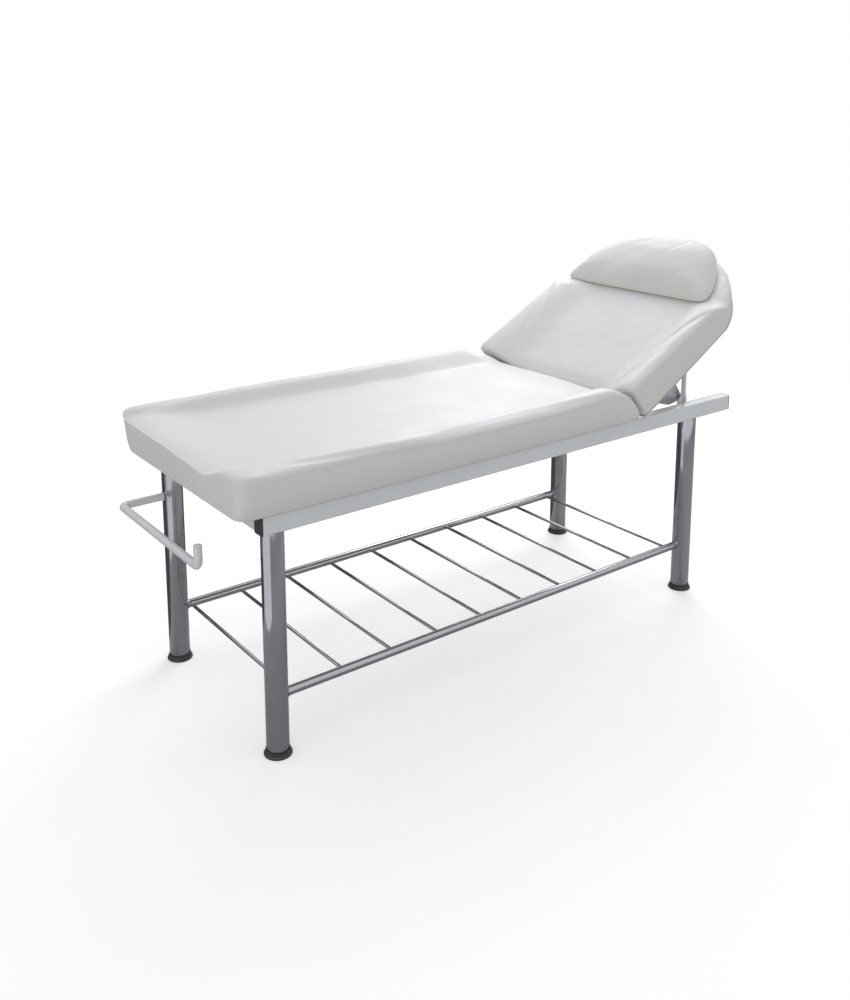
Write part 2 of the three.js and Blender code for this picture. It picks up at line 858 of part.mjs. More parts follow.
function hingePinGeometry() {
  const half = hingeLength / 2 + seatGap;
  const shank = hingePinDiameter / 2;
  const head = (hingePinDiameter + hingeBarrelDiameter) / 4;
  const profile = [
    new THREE.Vector2(0, -half - hingePinHead),
    new THREE.Vector2(head, -half - hingePinHead),
    new THREE.Vector2(head, -half),
    new THREE.Vector2(shank, -half),
    new THREE.Vector2(shank, half),
    new THREE.Vector2(head, half),
    new THREE.Vector2(head, half + hingePinHead),
    new THREE.Vector2(0, half + hingePinHead),
  ];
  return new THREE.LatheGeometry(profile, boltSides);
}

// Head section, drawn flat about its hinge line and then turned up
const head = new THREE.Group();
head.position.set(hingeX, 0, hingeHeight);
head.rotation.y = -THREE.MathUtils.degToRad(restTilt);
table.add(head);

const backBottom = cushionBottom - hingeHeight;
const baseLeafReach = hingeX - (hingeCrossRailX + railWidth / 2) - seatGap;
for (const [sideName, sideSign] of sideNames) {
  const y = sideSign * hingeHalfSpan;
  const leafTop = hingeLeafThickness / 2;
  const fixedLeaf = hingeLeafGeometry(-1, baseLeafReach, leafTop, outerKnuckleShares);
  add(table, `hinge_leaf_base_${sideName}`, fixedLeaf, zincSteel).position.set(
    hingeX,
    y,
    hingeHeight,
  );
  add(table, `hinge_pin_${sideName}`, hingePinGeometry(), zincSteel).position.set(
    hingeX,
    y,
    hingeHeight,
  );
  const movingLeaf = hingeLeafGeometry(
    1,
    hingeLeafReach,
    backBottom - seatGap,
    innerKnuckleShares,
  );
  add(head, `hinge_leaf_back_${sideName}`, movingLeaf, zincSteel).position.y = y;
}

const backLengthShares = [0.02, 0.06, 0.14, 0.28, 0.45, 0.62, 0.78, 0.92];
const backPlan = {
  footX: backStart,
  headX: backEnd,
  halfWidth: cushionHalfWidth,
  footCorner: backFootCorner,
  headCorner: backCorner,
  footSteps: tightCornerSteps,
  headSteps: 2 * cornerSteps,
  lengthShares: backLengthShares,
  widthShares,
  endDraw: endDrawIn,
  sideDraw: backSideDrawIn,
  deepestInset,
  cornerShrinkShare: 0.45,
  crown: 0,
  pipingShareAt: () => 0,
};

function backTop(p) {
  const fade = 1 - THREE.MathUtils.smoothstep(p.x, backBolsterFadeStart, backBolsterFadeEnd);
  const along = THREE.MathUtils.clamp(p.x / backBolsterFadeEnd, 0, 1);
  const rise = THREE.MathUtils.lerp(backBolsterRise, bolsterRise, along);
  const raised = rise * bolsterShare(p.y, backBolsterInner, backBolsterRidge) * fade;
  return backBottom + baseDishRise + raised;
}

function backDropAt(p, inset) {
  return roundedDrop(inset, backEdgeRound, backEdgeDrop);
}

const backBoardHalf = cushionHalfWidth - backSideDrawIn - boardInset;
const backBoardStart = backStart + endDrawIn + boardInset;
const backBoardEnd = backEnd - backCorner;
const backBoard = boardBox(backBoardStart, backBoardEnd, backBoardHalf, backBottom, 0);
add(head, "back_board", backBoard, plywood);
const backCushionBody = cushion(
  backPlan,
  backBottom,
  sideProfileShares,
  topInsets,
  backTop,
  backDropAt,
);
add(
  head,
  "back_cushion",
  cut(backCushionBody, [
    boardBox(backBoardStart, backBoardEnd, backBoardHalf, backBottom, boardWallGap),
  ]),
  whiteLeather,
);

// Brackets under the head section: a flange, a deep plate with a lobe, and an eye for the stay
const pivotX = stayPivotReach;
const pivotZ = backBottom - stayPivotDrop;
const bracketInner = stayHalfWidth - stayDiameter / 2 - openPivotGap - bracketThickness;

// At rest the stay hangs upright, and leans on a stop bolt in the lobe of each bracket.
const tilt = THREE.MathUtils.degToRad(restTilt);
const stopOffset = stayDiameter / 2 + stopBoltDiameter / 2 + seatGap;
const stopX = pivotX - stopBoltDrop * Math.sin(tilt) - stopOffset * Math.cos(tilt);
const stopZ = pivotZ - stopBoltDrop * Math.cos(tilt) + stopOffset * Math.sin(tilt);

function bracketShape() {
  const top = backBottom - seatGap;
  const lobeBottom = backBottom - bracketLobeDepth;
  const lobeTip = stopX + bracketLobeMargin;
  const lobeMiddle = (bracketLobeStart + lobeTip) / 2;
  const throatX = lobeTip - bracketThroat / 8;
  const shape = new THREE.Shape();
  shape.moveTo(bracketStart, top);
  shape.lineTo(bracketLobeStart, backBottom - bracketLobeDepth * lobeShoulderShare);
  shape.lineTo(lobeMiddle - bracketThroat / 4, backBottom - bracketLobeDepth * lobeKneeShare);
  shape.lineTo(lobeTip, lobeBottom);
  shape.quadraticCurveTo(
    lobeTip + bracketThroat / 8,
    backBottom - bracketLobeDepth * lobeSideShare,
    throatX,
    backBottom - bracketLobeDepth * lobeNeckShare,
  );
  shape.quadraticCurveTo(
    throatX,
    pivotZ - bracketEyeRadius,
    pivotX - bracketEyeRadius,
    pivotZ - bracketEyeRadius * eyeUndersideShare,
  );
  shape.absarc(pivotX, pivotZ, bracketEyeRadius, -Math.PI * eyeArcStartShare, 0);
  shape.lineTo(bracketEnd, top);
  shape.lineTo(bracketStart, top);
  const holes = [
    [pivotX, pivotZ, stayBoltDiameter],
    [stopX, stopZ, stopBoltDiameter],
  ];
  holes.forEach(([x, z, diameter]) => {
    const hole = new THREE.Path();
    hole.absarc(x, z, diameter / 2 + seatGap, 0, 2 * Math.PI, true);
    shape.holes.push(hole);
  });
  return shape;
}

function bracketGeometry(sideSign) {
  const inner = bracketInner;
  const start = sideSign < 0 ? -inner - bracketThickness : inner;
  const plate = plateAlongY(bracketShape(), start, bracketThickness, bendSteps * 2);
  const top = backBottom - seatGap;
  const flangeLow = sideSign < 0 ? -inner - bracketThickness / 2 : inner + bracketThickness / 2;
  const flangeHigh = flangeLow - sideSign * bracketFlange;
  const flange = boxBetween(
    new THREE.Vector3(bracketStart, Math.min(flangeLow, flangeHigh), top - bracketThickness),
    new THREE.Vector3(bracketEnd, Math.max(flangeLow, flangeHigh), top),
  );
  return joined([plate, flange]);
}

// A pivot bolt with its nut, through the bracket's eye and the stay's eye
function stayBoltGeometry(sideSign) {
  const inner = bracketInner - seatGap;
  const outer = stayHalfWidth + stayDiameter / 2 + seatGap;
  const shank = stayBoltDiameter / 2;
  const headRadius = boltHeadDiameter / 2;
  const profile = [
    new THREE.Vector2(0, inner - boltHeadHeight),
    new THREE.Vector2(headRadius, inner - boltHeadHeight),
    new THREE.Vector2(headRadius, inner),
    new THREE.Vector2(shank, inner),
    new THREE.Vector2(shank, outer),
    new THREE.Vector2(headRadius, outer),
    new THREE.Vector2(headRadius, outer + boltHeadHeight),
    new THREE.Vector2(0, outer + boltHeadHeight),
  ];
  const bolt = new THREE.LatheGeometry(profile, rodSides);
  return sideSign < 0 ? bolt.rotateX(Math.PI) : bolt;
}

// A stop bolt with its head inside the bracket, for an arm of the stay to lean on
function stopBoltGeometry(sideSign) {
  const inner = bracketInner - seatGap;
  const shank = stopBoltDiameter / 2;
  const headRadius = boltHeadDiameter / 2;
  const profile = [
    new THREE.Vector2(0, inner - boltHeadHeight),
    new THREE.Vector2(headRadius, inner - boltHeadHeight),
    new THREE.Vector2(headRadius, inner),
    new THREE.Vector2(shank, inner),
    new THREE.Vector2(shank, bracketInner + bracketThickness + stopBoltReach),
    new THREE.Vector2(0, bracketInner + bracketThickness + stopBoltReach),
  ];
  const bolt = new THREE.LatheGeometry(profile, rodSides);
  return sideSign < 0 ? bolt.rotateX(Math.PI) : bolt;
}

for (const [sideName, sideSign] of sideNames) {
  add(head, `stay_bracket_${sideName}`, bracketGeometry(sideSign), zincSteel);
  const stop = add(head, `stay_stop_${sideName}`, stopBoltGeometry(sideSign), zincSteel);
  stop.position.set(stopX, 0, stopZ);
  const bolt = add(head, `stay_bolt_${sideName}`, stayBoltGeometry(sideSign), zincSteel);
  bolt.position.set(pivotX, 0, pivotZ);
}

// The stay: two arms joined by a crossbar, each arm with a flared shoe and a peg for the rack
const stayTopX = hingeX + pivotX * Math.cos(tilt) - pivotZ * Math.sin(tilt);
const stayTopZ = hingeHeight + pivotX * Math.sin(tilt) + pivotZ * Math.cos(tilt);
const stayLength = stayTopZ - notchHeight;

function shoeShape() {
  const half = stayDiameter / 2;
  const shape = new THREE.Shape();
  shape.moveTo(-shoeHeel, -shoeDrop);
  shape.lineTo(shoeToe, -shoeDrop);
  shape.lineTo(shoeToe, shoeToeHeight);
  shape.lineTo(half, shoeToeHeight + shoeToe);
  shape.lineTo(half, shoeHeight);
  shape.lineTo(-half, shoeHeight);
  shape.quadraticCurveTo(-half, shoeHeight / 2, -shoeHeel, shoeHeight / 4);
  shape.lineTo(-shoeHeel, -shoeDrop);
  return shape;
}

function stayGeometry() {
  const radius = stayDiameter / 2;
  const armTop = stayLength + stayEyeReach;
  const crossbarZ = stayLength - stayCrossbarDrop;
  const crossbar = bar(
    new THREE.Vector3(0, -stayHalfWidth, crossbarZ),
    new THREE.Vector3(0, stayHalfWidth, crossbarZ),
    radius - seatGap,
    rodSides,
  );
  const extras = sideNames.flatMap(([, sideSign]) => {
    const arm = bar(
      new THREE.Vector3(0, sideSign * stayHalfWidth, -shoeDrop / 2),
      new THREE.Vector3(0, sideSign * stayHalfWidth, armTop),
      radius,
      rodSides,
    );
    const shoeStart = sideSign * stayHalfWidth - shoeThickness / 2;
    const shoe = plateAlongY(shoeShape(), shoeStart, shoeThickness, bendSteps);
    const pegEnd = railInnerY - seatGap - rackThickness - openPivotGap;
    const peg = bar(
      new THREE.Vector3(0, sideSign * stayHalfWidth, 0),
      new THREE.Vector3(0, sideSign * pegEnd, 0),
      pegDiameter / 2,
      rodSides,
    );
    return [arm, shoe, peg];
  });
  const eye = stayBoltDiameter / 2 + seatGap;
  const eyes = sideNames.map(([, sideSign]) =>
    bar(
      new THREE.Vector3(0, sideSign * (stayHalfWidth - stayDiameter), stayLength),
      new THREE.Vector3(0, sideSign * (stayHalfWidth + stayDiameter), stayLength),
      eye,
      rodSides,
    ),
  );
  return cut(joined([crossbar, ...extras]), eyes);
}

add(table, "stay", stayGeometry(), whitePaint).position.set(stayTopX, 0, notchHeight);

// Notched racks on the inner faces of the side rails
function rackShape() {
  const top = railTopHeight - rackTopDrop;
  const bottom = top - rackHeight;
  const slot = pegDiameter / 2 + rackSlack / 2;
  const startX = stayTopX - rackLead;
  const endX = stayTopX + (rackNotches - 1) * rackPitch + rackLead;
  const shape = new THREE.Shape();
  shape.moveTo(startX, bottom);
  shape.lineTo(endX, bottom);
  shape.lineTo(endX, top);
  for (let i = rackNotches - 1; i >= 0; i -= 1) {
    const x = stayTopX + i * rackPitch;
    shape.lineTo(x + slot, top);
    shape.lineTo(x + slot, notchHeight);
    shape.absarc(x, notchHeight, slot, 0, -Math.PI, true);
    shape.lineTo(x - slot, top);
  }
  shape.lineTo(startX, top);
  shape.lineTo(startX, bottom);
  return shape;
}

for (const [sideName, sideSign] of sideNames) {
  const near = railInnerY - seatGap;
  const start = sideSign < 0 ? -near : near - rackThickness;
  const rack = plateAlongY(rackShape(), start, rackThickness, bendSteps);
  add(table, `rack_${sideName}`, rack, whitePaint);
}

// Head pillow, lying on the head section
const pillowLengthShares = [0.25, 0.6];
const pillowWidthShares = [0.1, 0.24, 0.4, 0.6, 0.76, 0.9];
const pillowSideShares = [
  [0, 1, 0],
  [0.35, 0.45, 0],
  [0.7, 0.08, 0],
  [0.8, 0, 1],
  [0.92, 0, 1],
];
const pillowInsetShares = [0, 0.05, 0.14, 0.28, 0.5, 0.75, 1];
const pillowDeepestInset = 96;
const pillowPlan = {
  footX: pillowStart,
  headX: pillowEnd,
  halfWidth: pillowHalfWidth,
  footCorner: pillowFootCorner,
  headCorner: pillowHeadCorner,
  footSteps: cornerSteps,
  headSteps: cornerSteps,
  lengthShares: pillowLengthShares,
  widthShares: pillowWidthShares,
  endDraw: pillowEdgeTuck,
  sideDraw: pillowEdgeTuck,
  deepestInset: pillowDeepestInset,
  cornerShrinkShare: 0.5,
  crown: 0,
  pipingShareAt: () => 1,
};
const pillowBottom = backBottom + baseDishRise + boardGap;

function pillowTop() {
  return pillowBottom + pillowThickness;
}

function pillowDropAt(p, inset) {
  return roundedDrop(inset, pillowDeepestInset, pillowThickness - pillowSeamHeight);
}

const pillow = cushion(
  pillowPlan,
  pillowBottom,
  pillowSideShares,
  pillowInsetShares.map((share) => share * pillowDeepestInset),
  pillowTop,
  pillowDropAt,
);
add(head, "pillow", pillow, whiteLeather).position.y = pillowShift;

// The part's origin lies on the floor under the middle of its whole box.
const part = new THREE.Group();
part.add(table);
part.updateMatrixWorld(true);
const box = new THREE.Box3().setFromObject(part, true);
table.position.x = -(box.min.x + box.max.x) / 2;
table.position.y = -(box.min.y + box.max.y) / 2;

export default part;
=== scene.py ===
"""Looks of a padded treatment table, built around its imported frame.

The rigid round pieces are modelled again with smooth walls and welds, the cushions are stuffed
by cloth simulation and then get their seams, piping and stitches, and each remaining frame
piece gets its own finish. Lengths are in metres, X runs from the foot to the head and Z is up.
"""

import json
import logging
import math
from collections.abc import Callable, Iterator
from contextlib import contextmanager
from dataclasses import dataclass, field
from enum import Enum

import bmesh
import bpy
import numpy as np
from mathutils import Matrix, Vector
from mathutils.bvhtree import BVHTree


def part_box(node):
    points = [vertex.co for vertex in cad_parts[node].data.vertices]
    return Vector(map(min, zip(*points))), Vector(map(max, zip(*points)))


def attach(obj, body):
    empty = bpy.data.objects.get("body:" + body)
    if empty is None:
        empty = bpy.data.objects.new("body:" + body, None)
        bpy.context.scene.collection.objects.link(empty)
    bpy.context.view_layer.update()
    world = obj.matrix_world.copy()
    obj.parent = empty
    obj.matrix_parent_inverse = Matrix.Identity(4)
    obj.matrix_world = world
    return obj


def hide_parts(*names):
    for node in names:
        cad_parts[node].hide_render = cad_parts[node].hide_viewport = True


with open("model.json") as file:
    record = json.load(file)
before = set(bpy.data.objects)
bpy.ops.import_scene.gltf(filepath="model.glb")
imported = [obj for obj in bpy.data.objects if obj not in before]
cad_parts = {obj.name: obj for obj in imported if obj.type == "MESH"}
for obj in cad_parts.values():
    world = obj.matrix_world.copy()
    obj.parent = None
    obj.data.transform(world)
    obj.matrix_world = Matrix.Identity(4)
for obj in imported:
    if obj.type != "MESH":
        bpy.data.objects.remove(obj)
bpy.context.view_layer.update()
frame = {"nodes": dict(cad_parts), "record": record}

log = logging.getLogger("treatment_table")

SIDES = (("left", -1.0), ("right", 1.0))
ENDS = (("foot", -1.0), ("head", 1.0))
CLOTH_FRAMES = 20
CLOTH_SETTINGS = {
    "quality": 4,
    "mass": 0.35,
    "tension_stiffness": 22,
    "compression_stiffness": 18,
    "shear_stiffness": 8,
    "bending_stiffness": 0.8,
    "use_pressure": True,
    "uniform_pressure_force": 4.0,
}


class Body(str, Enum):
    """The bodies that the pieces ride on."""

    FRAME = "frame"
    HEAD = "head_section"
    STAY = "stay"
    PILLOW = "pillow"


class Slot(str, Enum):
    """The material slots of the record."""

    CHROME = "chrome"
    PAINT = "white_paint"
    PLASTIC = "black_plastic"
    ZINC = "zinc_steel"
    VINYL = "white_leatherette"
    PILLOW = "pillow_leatherette"
    PLYWOOD = "plywood"


# Modelling tools


def deselect_all() -> None:
    """Leaves edit mode and selects nothing."""
    if bpy.context.object and bpy.context.object.mode != "OBJECT":
        bpy.ops.object.mode_set(mode="OBJECT")
    bpy.ops.object.select_all(action="DESELECT")


def take(piece: bpy.types.Object) -> None:
    """Makes one piece the only selected and the active one."""
    deselect_all()
    piece.select_set(True)
    bpy.context.view_layer.objects.active = piece


@contextmanager
def editing(piece: bpy.types.Object, mode: str = "VERT") -> Iterator[bmesh.types.BMesh]:
    """Opens a piece in edit mode with nothing selected, and closes it again.

    Args:
        piece: The mesh object to edit.
        mode: The kind of element that is selected, VERT, EDGE or FACE.

    Yields:
        The piece's edit mesh.
    """
    take(piece)
    bpy.ops.object.mode_set(mode="EDIT")
    bpy.ops.mesh.select_mode(type=mode)
    bpy.ops.mesh.select_all(action="DESELECT")
    yield bmesh.from_edit_mesh(piece.data)
    bpy.ops.object.mode_set(mode="OBJECT")


def mend_normals(piece: bpy.types.Object) -> None:
    """Merges doubled points and turns the faces outwards."""
    with editing(piece):
        bpy.ops.mesh.select_all(action="SELECT")
        bpy.ops.mesh.remove_doubles(threshold=1e-6)
        bpy.ops.mesh.normals_make_consistent(inside=False)


def apply_modifiers(piece: bpy.types.Object) -> None:
    """Applies all modifiers of a piece in order."""
    take(piece)
    for modifier in list(piece.modifiers):
        bpy.ops.object.modifier_apply(modifier=modifier.name)


def apply_place(piece: bpy.types.Object) -> None:
    """Writes a piece's place and turn into its mesh."""
    take(piece)
    bpy.ops.object.transform_apply(location=True, rotation=True, scale=True)


def bevel_edges(piece: bpy.types.Object, width: float, segments: int, angle: float = 40.0) -> None:
    """Rounds the edges that are sharper than an angle, with a bevel modifier.

    Args:
        piece: The mesh object.
        width: The width of the rounding.
        segments: The number of steps in it.
        angle: The least angle in degrees between faces of a rounded edge.
    """
    take(piece)
    bpy.ops.object.modifier_add(type="BEVEL")
    bevel = piece.modifiers[-1]
    bevel.width = width
    bevel.segments = segments
    bevel.limit_method = "ANGLE"
    bevel.angle_limit = math.radians(angle)
    bevel.harden_normals = False
    apply_modifiers(piece)


def smooth(piece: bpy.types.Object, angle: float = 35.0) -> None:
    """Shades a piece smooth, and sharp across edges above an angle in degrees."""
    take(piece)
    bpy.ops.object.shade_smooth_by_angle(angle=math.radians(angle))


def join(pieces: list[bpy.types.Object], name: str) -> bpy.types.Object:
    """Joins mesh objects into the first one and names it."""
    deselect_all()
    for piece in pieces:
        piece.select_set(True)
    bpy.context.view_layer.objects.active = pieces[0]
    if len(pieces) > 1:
        bpy.ops.object.join()
    joined = bpy.context.object
    joined.name = name
    joined.data.name = name
    return joined


def turned(name: str, profile: list[tuple[float, float]], sides: int, centre: Vector) -> bpy.types.Object:
    """Spins a profile of radius and height round an upright axis.

    Args:
        name: The piece's name.
        profile: Points of radius and height, from the bottom centre round to the top.
        sides: The number of steps of the spin.
        centre: The foot of the axis.

    Returns:
        The turned piece.
    """
    bpy.ops.mesh.primitive_plane_add(size=1.0, location=(0, 0, 0))
    piece = bpy.context.object
    piece.name = name
    with editing(piece) as mesh:
        bpy.ops.mesh.select_all(action="SELECT")
        bpy.ops.mesh.merge(type="CENTER")
        mesh = bmesh.from_edit_mesh(piece.data)
        mesh.verts.ensure_lookup_table()
        start = Vector((profile[0][0], 0, profile[0][1]))
        mesh.verts[0].co = start
        mesh.verts[0].select_set(True)
        bmesh.update_edit_mesh(piece.data)
        for (r0, z0), (r1, z1) in zip(profile, profile[1:]):
            bpy.ops.mesh.extrude_region_move(
                TRANSFORM_OT_translate={"value": (r1 - r0, 0, z1 - z0)}
            )
        bpy.ops.mesh.select_all(action="SELECT")
        bpy.ops.mesh.spin(
            steps=sides, angle=2 * math.pi, center=(0, 0, 0), axis=(0, 0, 1)
        )
        bpy.ops.mesh.select_all(action="SELECT")
        bpy.ops.mesh.remove_doubles(threshold=1e-6)
        bpy.ops.mesh.normals_make_consistent(inside=False)
        bpy.ops.transform.translate(value=centre)
    return piece


def filleted(route: list[Vector], radius: float, steps: int) -> list[Vector]:
    """Rounds the inner corners of a route.

    Args:
        route: The corners and ends.
        radius: The bend radius.
        steps: The number of points along each bend.

    Returns:
        The route with an arc at each inner corner.
    """
    points = [route[0]]
    for before, corner, after in zip(route, route[1:], route[2:]):
        into = (corner - before).normalized()
        out_of = (after - corner).normalized()
        turn = into.angle(out_of)
        reach = radius * math.tan(turn / 2)
        start = corner - into * reach
        side = (out_of - into * out_of.dot(into)).normalized()
        centre = start + side * radius
        for k in range(steps + 1):
            angle = turn * k / steps
            points.append(centre - side * radius * math.cos(angle) + into * radius * math.sin(angle))
    points.append(route[-1])
    return points


def piped(
    name: str, points: list[Vector], radius: float, sides: int, closed: bool = False
) -> bpy.types.Object:
    """Makes a round tube along a line of points, closed at its ends.

    Args:
        name: The piece's name.
        points: The points of its centre line.
        radius: The tube's radius.
        sides: The number of faces round it.
        closed: Whether the line joins its own start.

    Returns:
        The tube as a mesh object.
    """
    data = bpy.data.curves.new(name, "CURVE")
    data.dimensions = "3D"
    data.bevel_depth = radius
    data.bevel_resolution = max(0, sides // 2 - 2)
    data.use_fill_caps = not closed
    spline = data.splines.new("POLY")
    spline.points.add(len(points) - 1)
    for target, point in zip(spline.points, points):
        target.co = (*point, 1.0)
    spline.use_cyclic_u = closed
    piece = bpy.data.objects.new(name, data)
    bpy.context.scene.collection.objects.link(piece)
    take(piece)
    bpy.ops.object.convert(target="MESH")
    piece = bpy.context.object
    piece.name = name
    mend_normals(piece)
    return piece


def rod(
    name: str,
    start: Vector,
    end: Vector,
    radius: float,
    sides: int,
    chamfer: float,
    wall: float = 0.0,
) -> bpy.types.Object:
    """Models a straight round rod or tube with rounded end edges.

    Args:
        name: The piece's name.
        start: The centre of one end.
        end: The centre of the other end.
        radius: The outer radius.
        sides: The number of faces round it.
        chamfer: The rounding of the end edges.
        wall: The wall of a tube that is open at its ends, or 0 for a solid rod.

    Returns:
        The rod.
    """
    along = end - start
    bpy.ops.mesh.primitive_cylinder_add(
        vertices=sides,
        radius=radius,
        depth=along.length,
        location=(start + end) / 2,
        rotation=along.to_track_quat("Z", "Y").to_euler(),
        end_fill_type="NOTHING" if wall else "NGON",
    )
    piece = bpy.context.object
    piece.name = name
    apply_place(piece)
    if wall:
        bpy.ops.object.modifier_add(type="SOLIDIFY")
        piece.modifiers[-1].thickness = wall
        piece.modifiers[-1].offset = -1.0
        apply_modifiers(piece)
    bevel_edges(piece, chamfer, 2, 60.0)
    return piece


def block(name: str, low: Vector, high: Vector, along: int, corner: float, steps: int) -> bpy.types.Object:
    """Models a block whose edges along one axis are rounded.

    Args:
        name: The piece's name.
        low: Its lowest corner.
        high: Its highest corner.
        along: The axis of the rounded edges, 0 for X, 1 for Y and 2 for Z.
        corner: The radius of the rounded edges.
        steps: The number of steps in each rounding.

    Returns:
        The block.
    """
    deselect_all()
    size = high - low
    bpy.ops.mesh.primitive_cube_add(size=1.0, location=(low + high) / 2)
    piece = bpy.context.object
    piece.name = name
    piece.scale = size
    apply_place(piece)
    with editing(piece, "EDGE") as mesh:
        for edge in mesh.edges:
            run = edge.verts[1].co - edge.verts[0].co
            edge.select_set(abs(run[along]) > 0.9 * size[along])
        bpy.ops.mesh.bevel(offset=corner, segments=steps, affect="EDGES")
    return piece


def square_tube(
    name: str, low: Vector, high: Vector, along: int, corner: float, wall: float
) -> bpy.types.Object:
    """Models a rectangular tube that is open at both ends.

    Args:
        name: The piece's name.
        low: Its lowest corner.
        high: Its highest corner.
        along: The axis that it runs along, 0 for X, 1 for Y and 2 for Z.
        corner: The radius of its long edges.
        wall: Its wall.

    Returns:
        The tube.
    """
    piece = block(name, low, high, along, corner, 6)
    with editing(piece, "FACE") as mesh:
        for face in mesh.faces:
            face.select_set(abs(face.normal[along]) > 0.9)
        bpy.ops.mesh.delete(type="FACE")
    take(piece)
    bpy.ops.object.modifier_add(type="SOLIDIFY")
    piece.modifiers[-1].thickness = wall
    piece.modifiers[-1].offset = -1.0
    apply_modifiers(piece)
    return piece


def slab(
    name: str, outline: list[tuple[float, float]], low: float, thick: float, edge: float, upright: bool
) -> bpy.types.Object:
    """Models a flat plate with eased edges from its outline.

    Args:
        name: The piece's name.
        outline: Points of X and Z for an upright plate, or of X and Y for a level one.
        low: Where its lower face lies, along Y for an upright plate or along Z.
        thick: Its thickness.
        edge: The width of the eased edges.
        upright: Whether the plate stands along X and Z.

    Returns:
        The plate.
    """
    deselect_all()
    bpy.ops.mesh.primitive_circle_add(vertices=len(outline), radius=1.0, fill_type="NGON")
    piece = bpy.context.object
    piece.name = name
    rise = (0, thick, 0) if upright else (0, 0, thick)
    with editing(piece) as mesh:
        mesh.verts.ensure_lookup_table()
        for vertex, (first, second) in zip(mesh.verts, outline):
            vertex.co = (first, low, second) if upright else (first, second, low)
        bmesh.update_edit_mesh(piece.data)
        bpy.ops.mesh.select_all(action="SELECT")
        bpy.ops.mesh.extrude_region_move(TRANSFORM_OT_translate={"value": rise})
        bpy.ops.mesh.select_all(action="SELECT")
        bpy.ops.mesh.normals_make_consistent(inside=False)
    bevel_edges(piece, edge, 2, 35.0)
    return piece


def bead(
    name: str, centre: Vector, axis: Vector, radius: float, thick: float, sides: int
) -> bpy.types.Object:
    """Models a weld bead, a ring that is rounded outside and sits round a tube.

    Args:
        name: The piece's name.
        centre: The middle of the ring.
        axis: The direction of the tube.
        radius: The ring's middle radius.
        thick: The bead's own radius.
        sides: The number of steps round the ring.

    Returns:
        The bead.
    """
    bpy.ops.mesh.primitive_torus_add(
        major_segments=sides,
        minor_segments=8,
        major_radius=radius,
        minor_radius=thick,
        location=centre,
        rotation=axis.to_track_quat("Z", "Y").to_euler(),
    )
    piece = bpy.context.object
    piece.name = name
    apply_place(piece)
    ripple = Vector((axis.y, axis.z, axis.x))
    for vertex in piece.data.vertices:
        spoke = vertex.co - centre
        phase = spoke.angle(ripple) * 9.0
        vertex.co += spoke.normalized() * thick * 0.18 * math.sin(phase)
    return piece


def coordinates(piece: bpy.types.Object) -> np.ndarray:
    """The points of a mesh as rows of x, y and z."""
    flat = np.empty(len(piece.data.vertices) * 3)
    piece.data.vertices.foreach_get("co", flat)
    return flat.reshape(-1, 3)


def set_coordinates(piece: bpy.types.Object, points: np.ndarray) -> None:
    """Writes rows of x, y and z to the points of a mesh."""
    piece.data.vertices.foreach_set("co", points.astype(np.float32).ravel())
    piece.data.update()


def vertex_normals(piece: bpy.types.Object) -> np.ndarray:
    """The unit normals at the points of a mesh."""
    flat = np.empty(len(piece.data.vertices) * 3)
    piece.data.vertices.foreach_get("normal", flat)
    return flat.reshape(-1, 3)


def smoothstep(value: np.ndarray | float, low: float, high: float) -> np.ndarray | float:
    """A smooth rise from 0 at low to 1 at high."""
    share = np.clip((value - low) / (high - low), 0.0, 1.0)
    return share * share * (3.0 - 2.0 * share)


# Shared shader groups


class NodeBench:
    """Adds nodes to a tree and joins them."""

    def __init__(self, tree: bpy.types.NodeTree) -> None:
        """Keeps the tree that the nodes go into."""
        self.tree = tree

    def node(
        self, kind: str, inputs: dict[str | int, object] | None = None, **values: object
    ) -> bpy.types.Node:
        """Adds a node and sets its properties and inputs.

        Args:
            kind: The node's type name.
            inputs: Its inputs, as set takes them.
            values: Its properties.

        Returns:
            The new node.
        """
        made = self.tree.nodes.new(kind)
        for key, value in values.items():
            setattr(made, key, value)
        return self.set(made, inputs or {})

    def set(self, made: bpy.types.Node, inputs: dict[str | int, object]) -> bpy.types.Node:
        """Sets or links inputs of a node.

        Args:
            made: The node.
            inputs: For each input's name or index, a number, colour or output socket.

        Returns:
            The same node.
        """
        for key, value in inputs.items():
            if isinstance(value, bpy.types.NodeSocket):
                self.tree.links.new(value, made.inputs[key])
            else:
                made.inputs[key].default_value = value
        return made

    def noise(self, vector: bpy.types.NodeSocket, scale: float, detail: float = 3.0) -> bpy.types.NodeSocket:
        """A noise value over the surface."""
        inputs = {"Vector": vector, "Scale": scale, "Detail": detail}
        return self.node("ShaderNodeTexNoise", inputs).outputs["Fac"]

    def remap(
        self, value: bpy.types.NodeSocket, low: float, high: float, to_low: float, to_high: float
    ) -> bpy.types.NodeSocket:
        """Maps a value from one range to another, held at its ends."""
        inputs = {"Value": value, "From Min": low, "From Max": high, "To Min": to_low, "To Max": to_high}
        return self.node("ShaderNodeMapRange", inputs).outputs["Result"]

    def mix(self, share: object, first: object, second: object) -> bpy.types.NodeSocket:
        """Mixes two colours by a share."""
        made = self.node("ShaderNodeMix", {0: share, 6: first, 7: second}, data_type="RGBA")
        return made.outputs[2]

    def maths(self, operation: str, *values: object) -> bpy.types.NodeSocket:
        """Does one sum on values or sockets."""
        return self.node("ShaderNodeMath", dict(enumerate(values)), operation=operation).outputs[0]


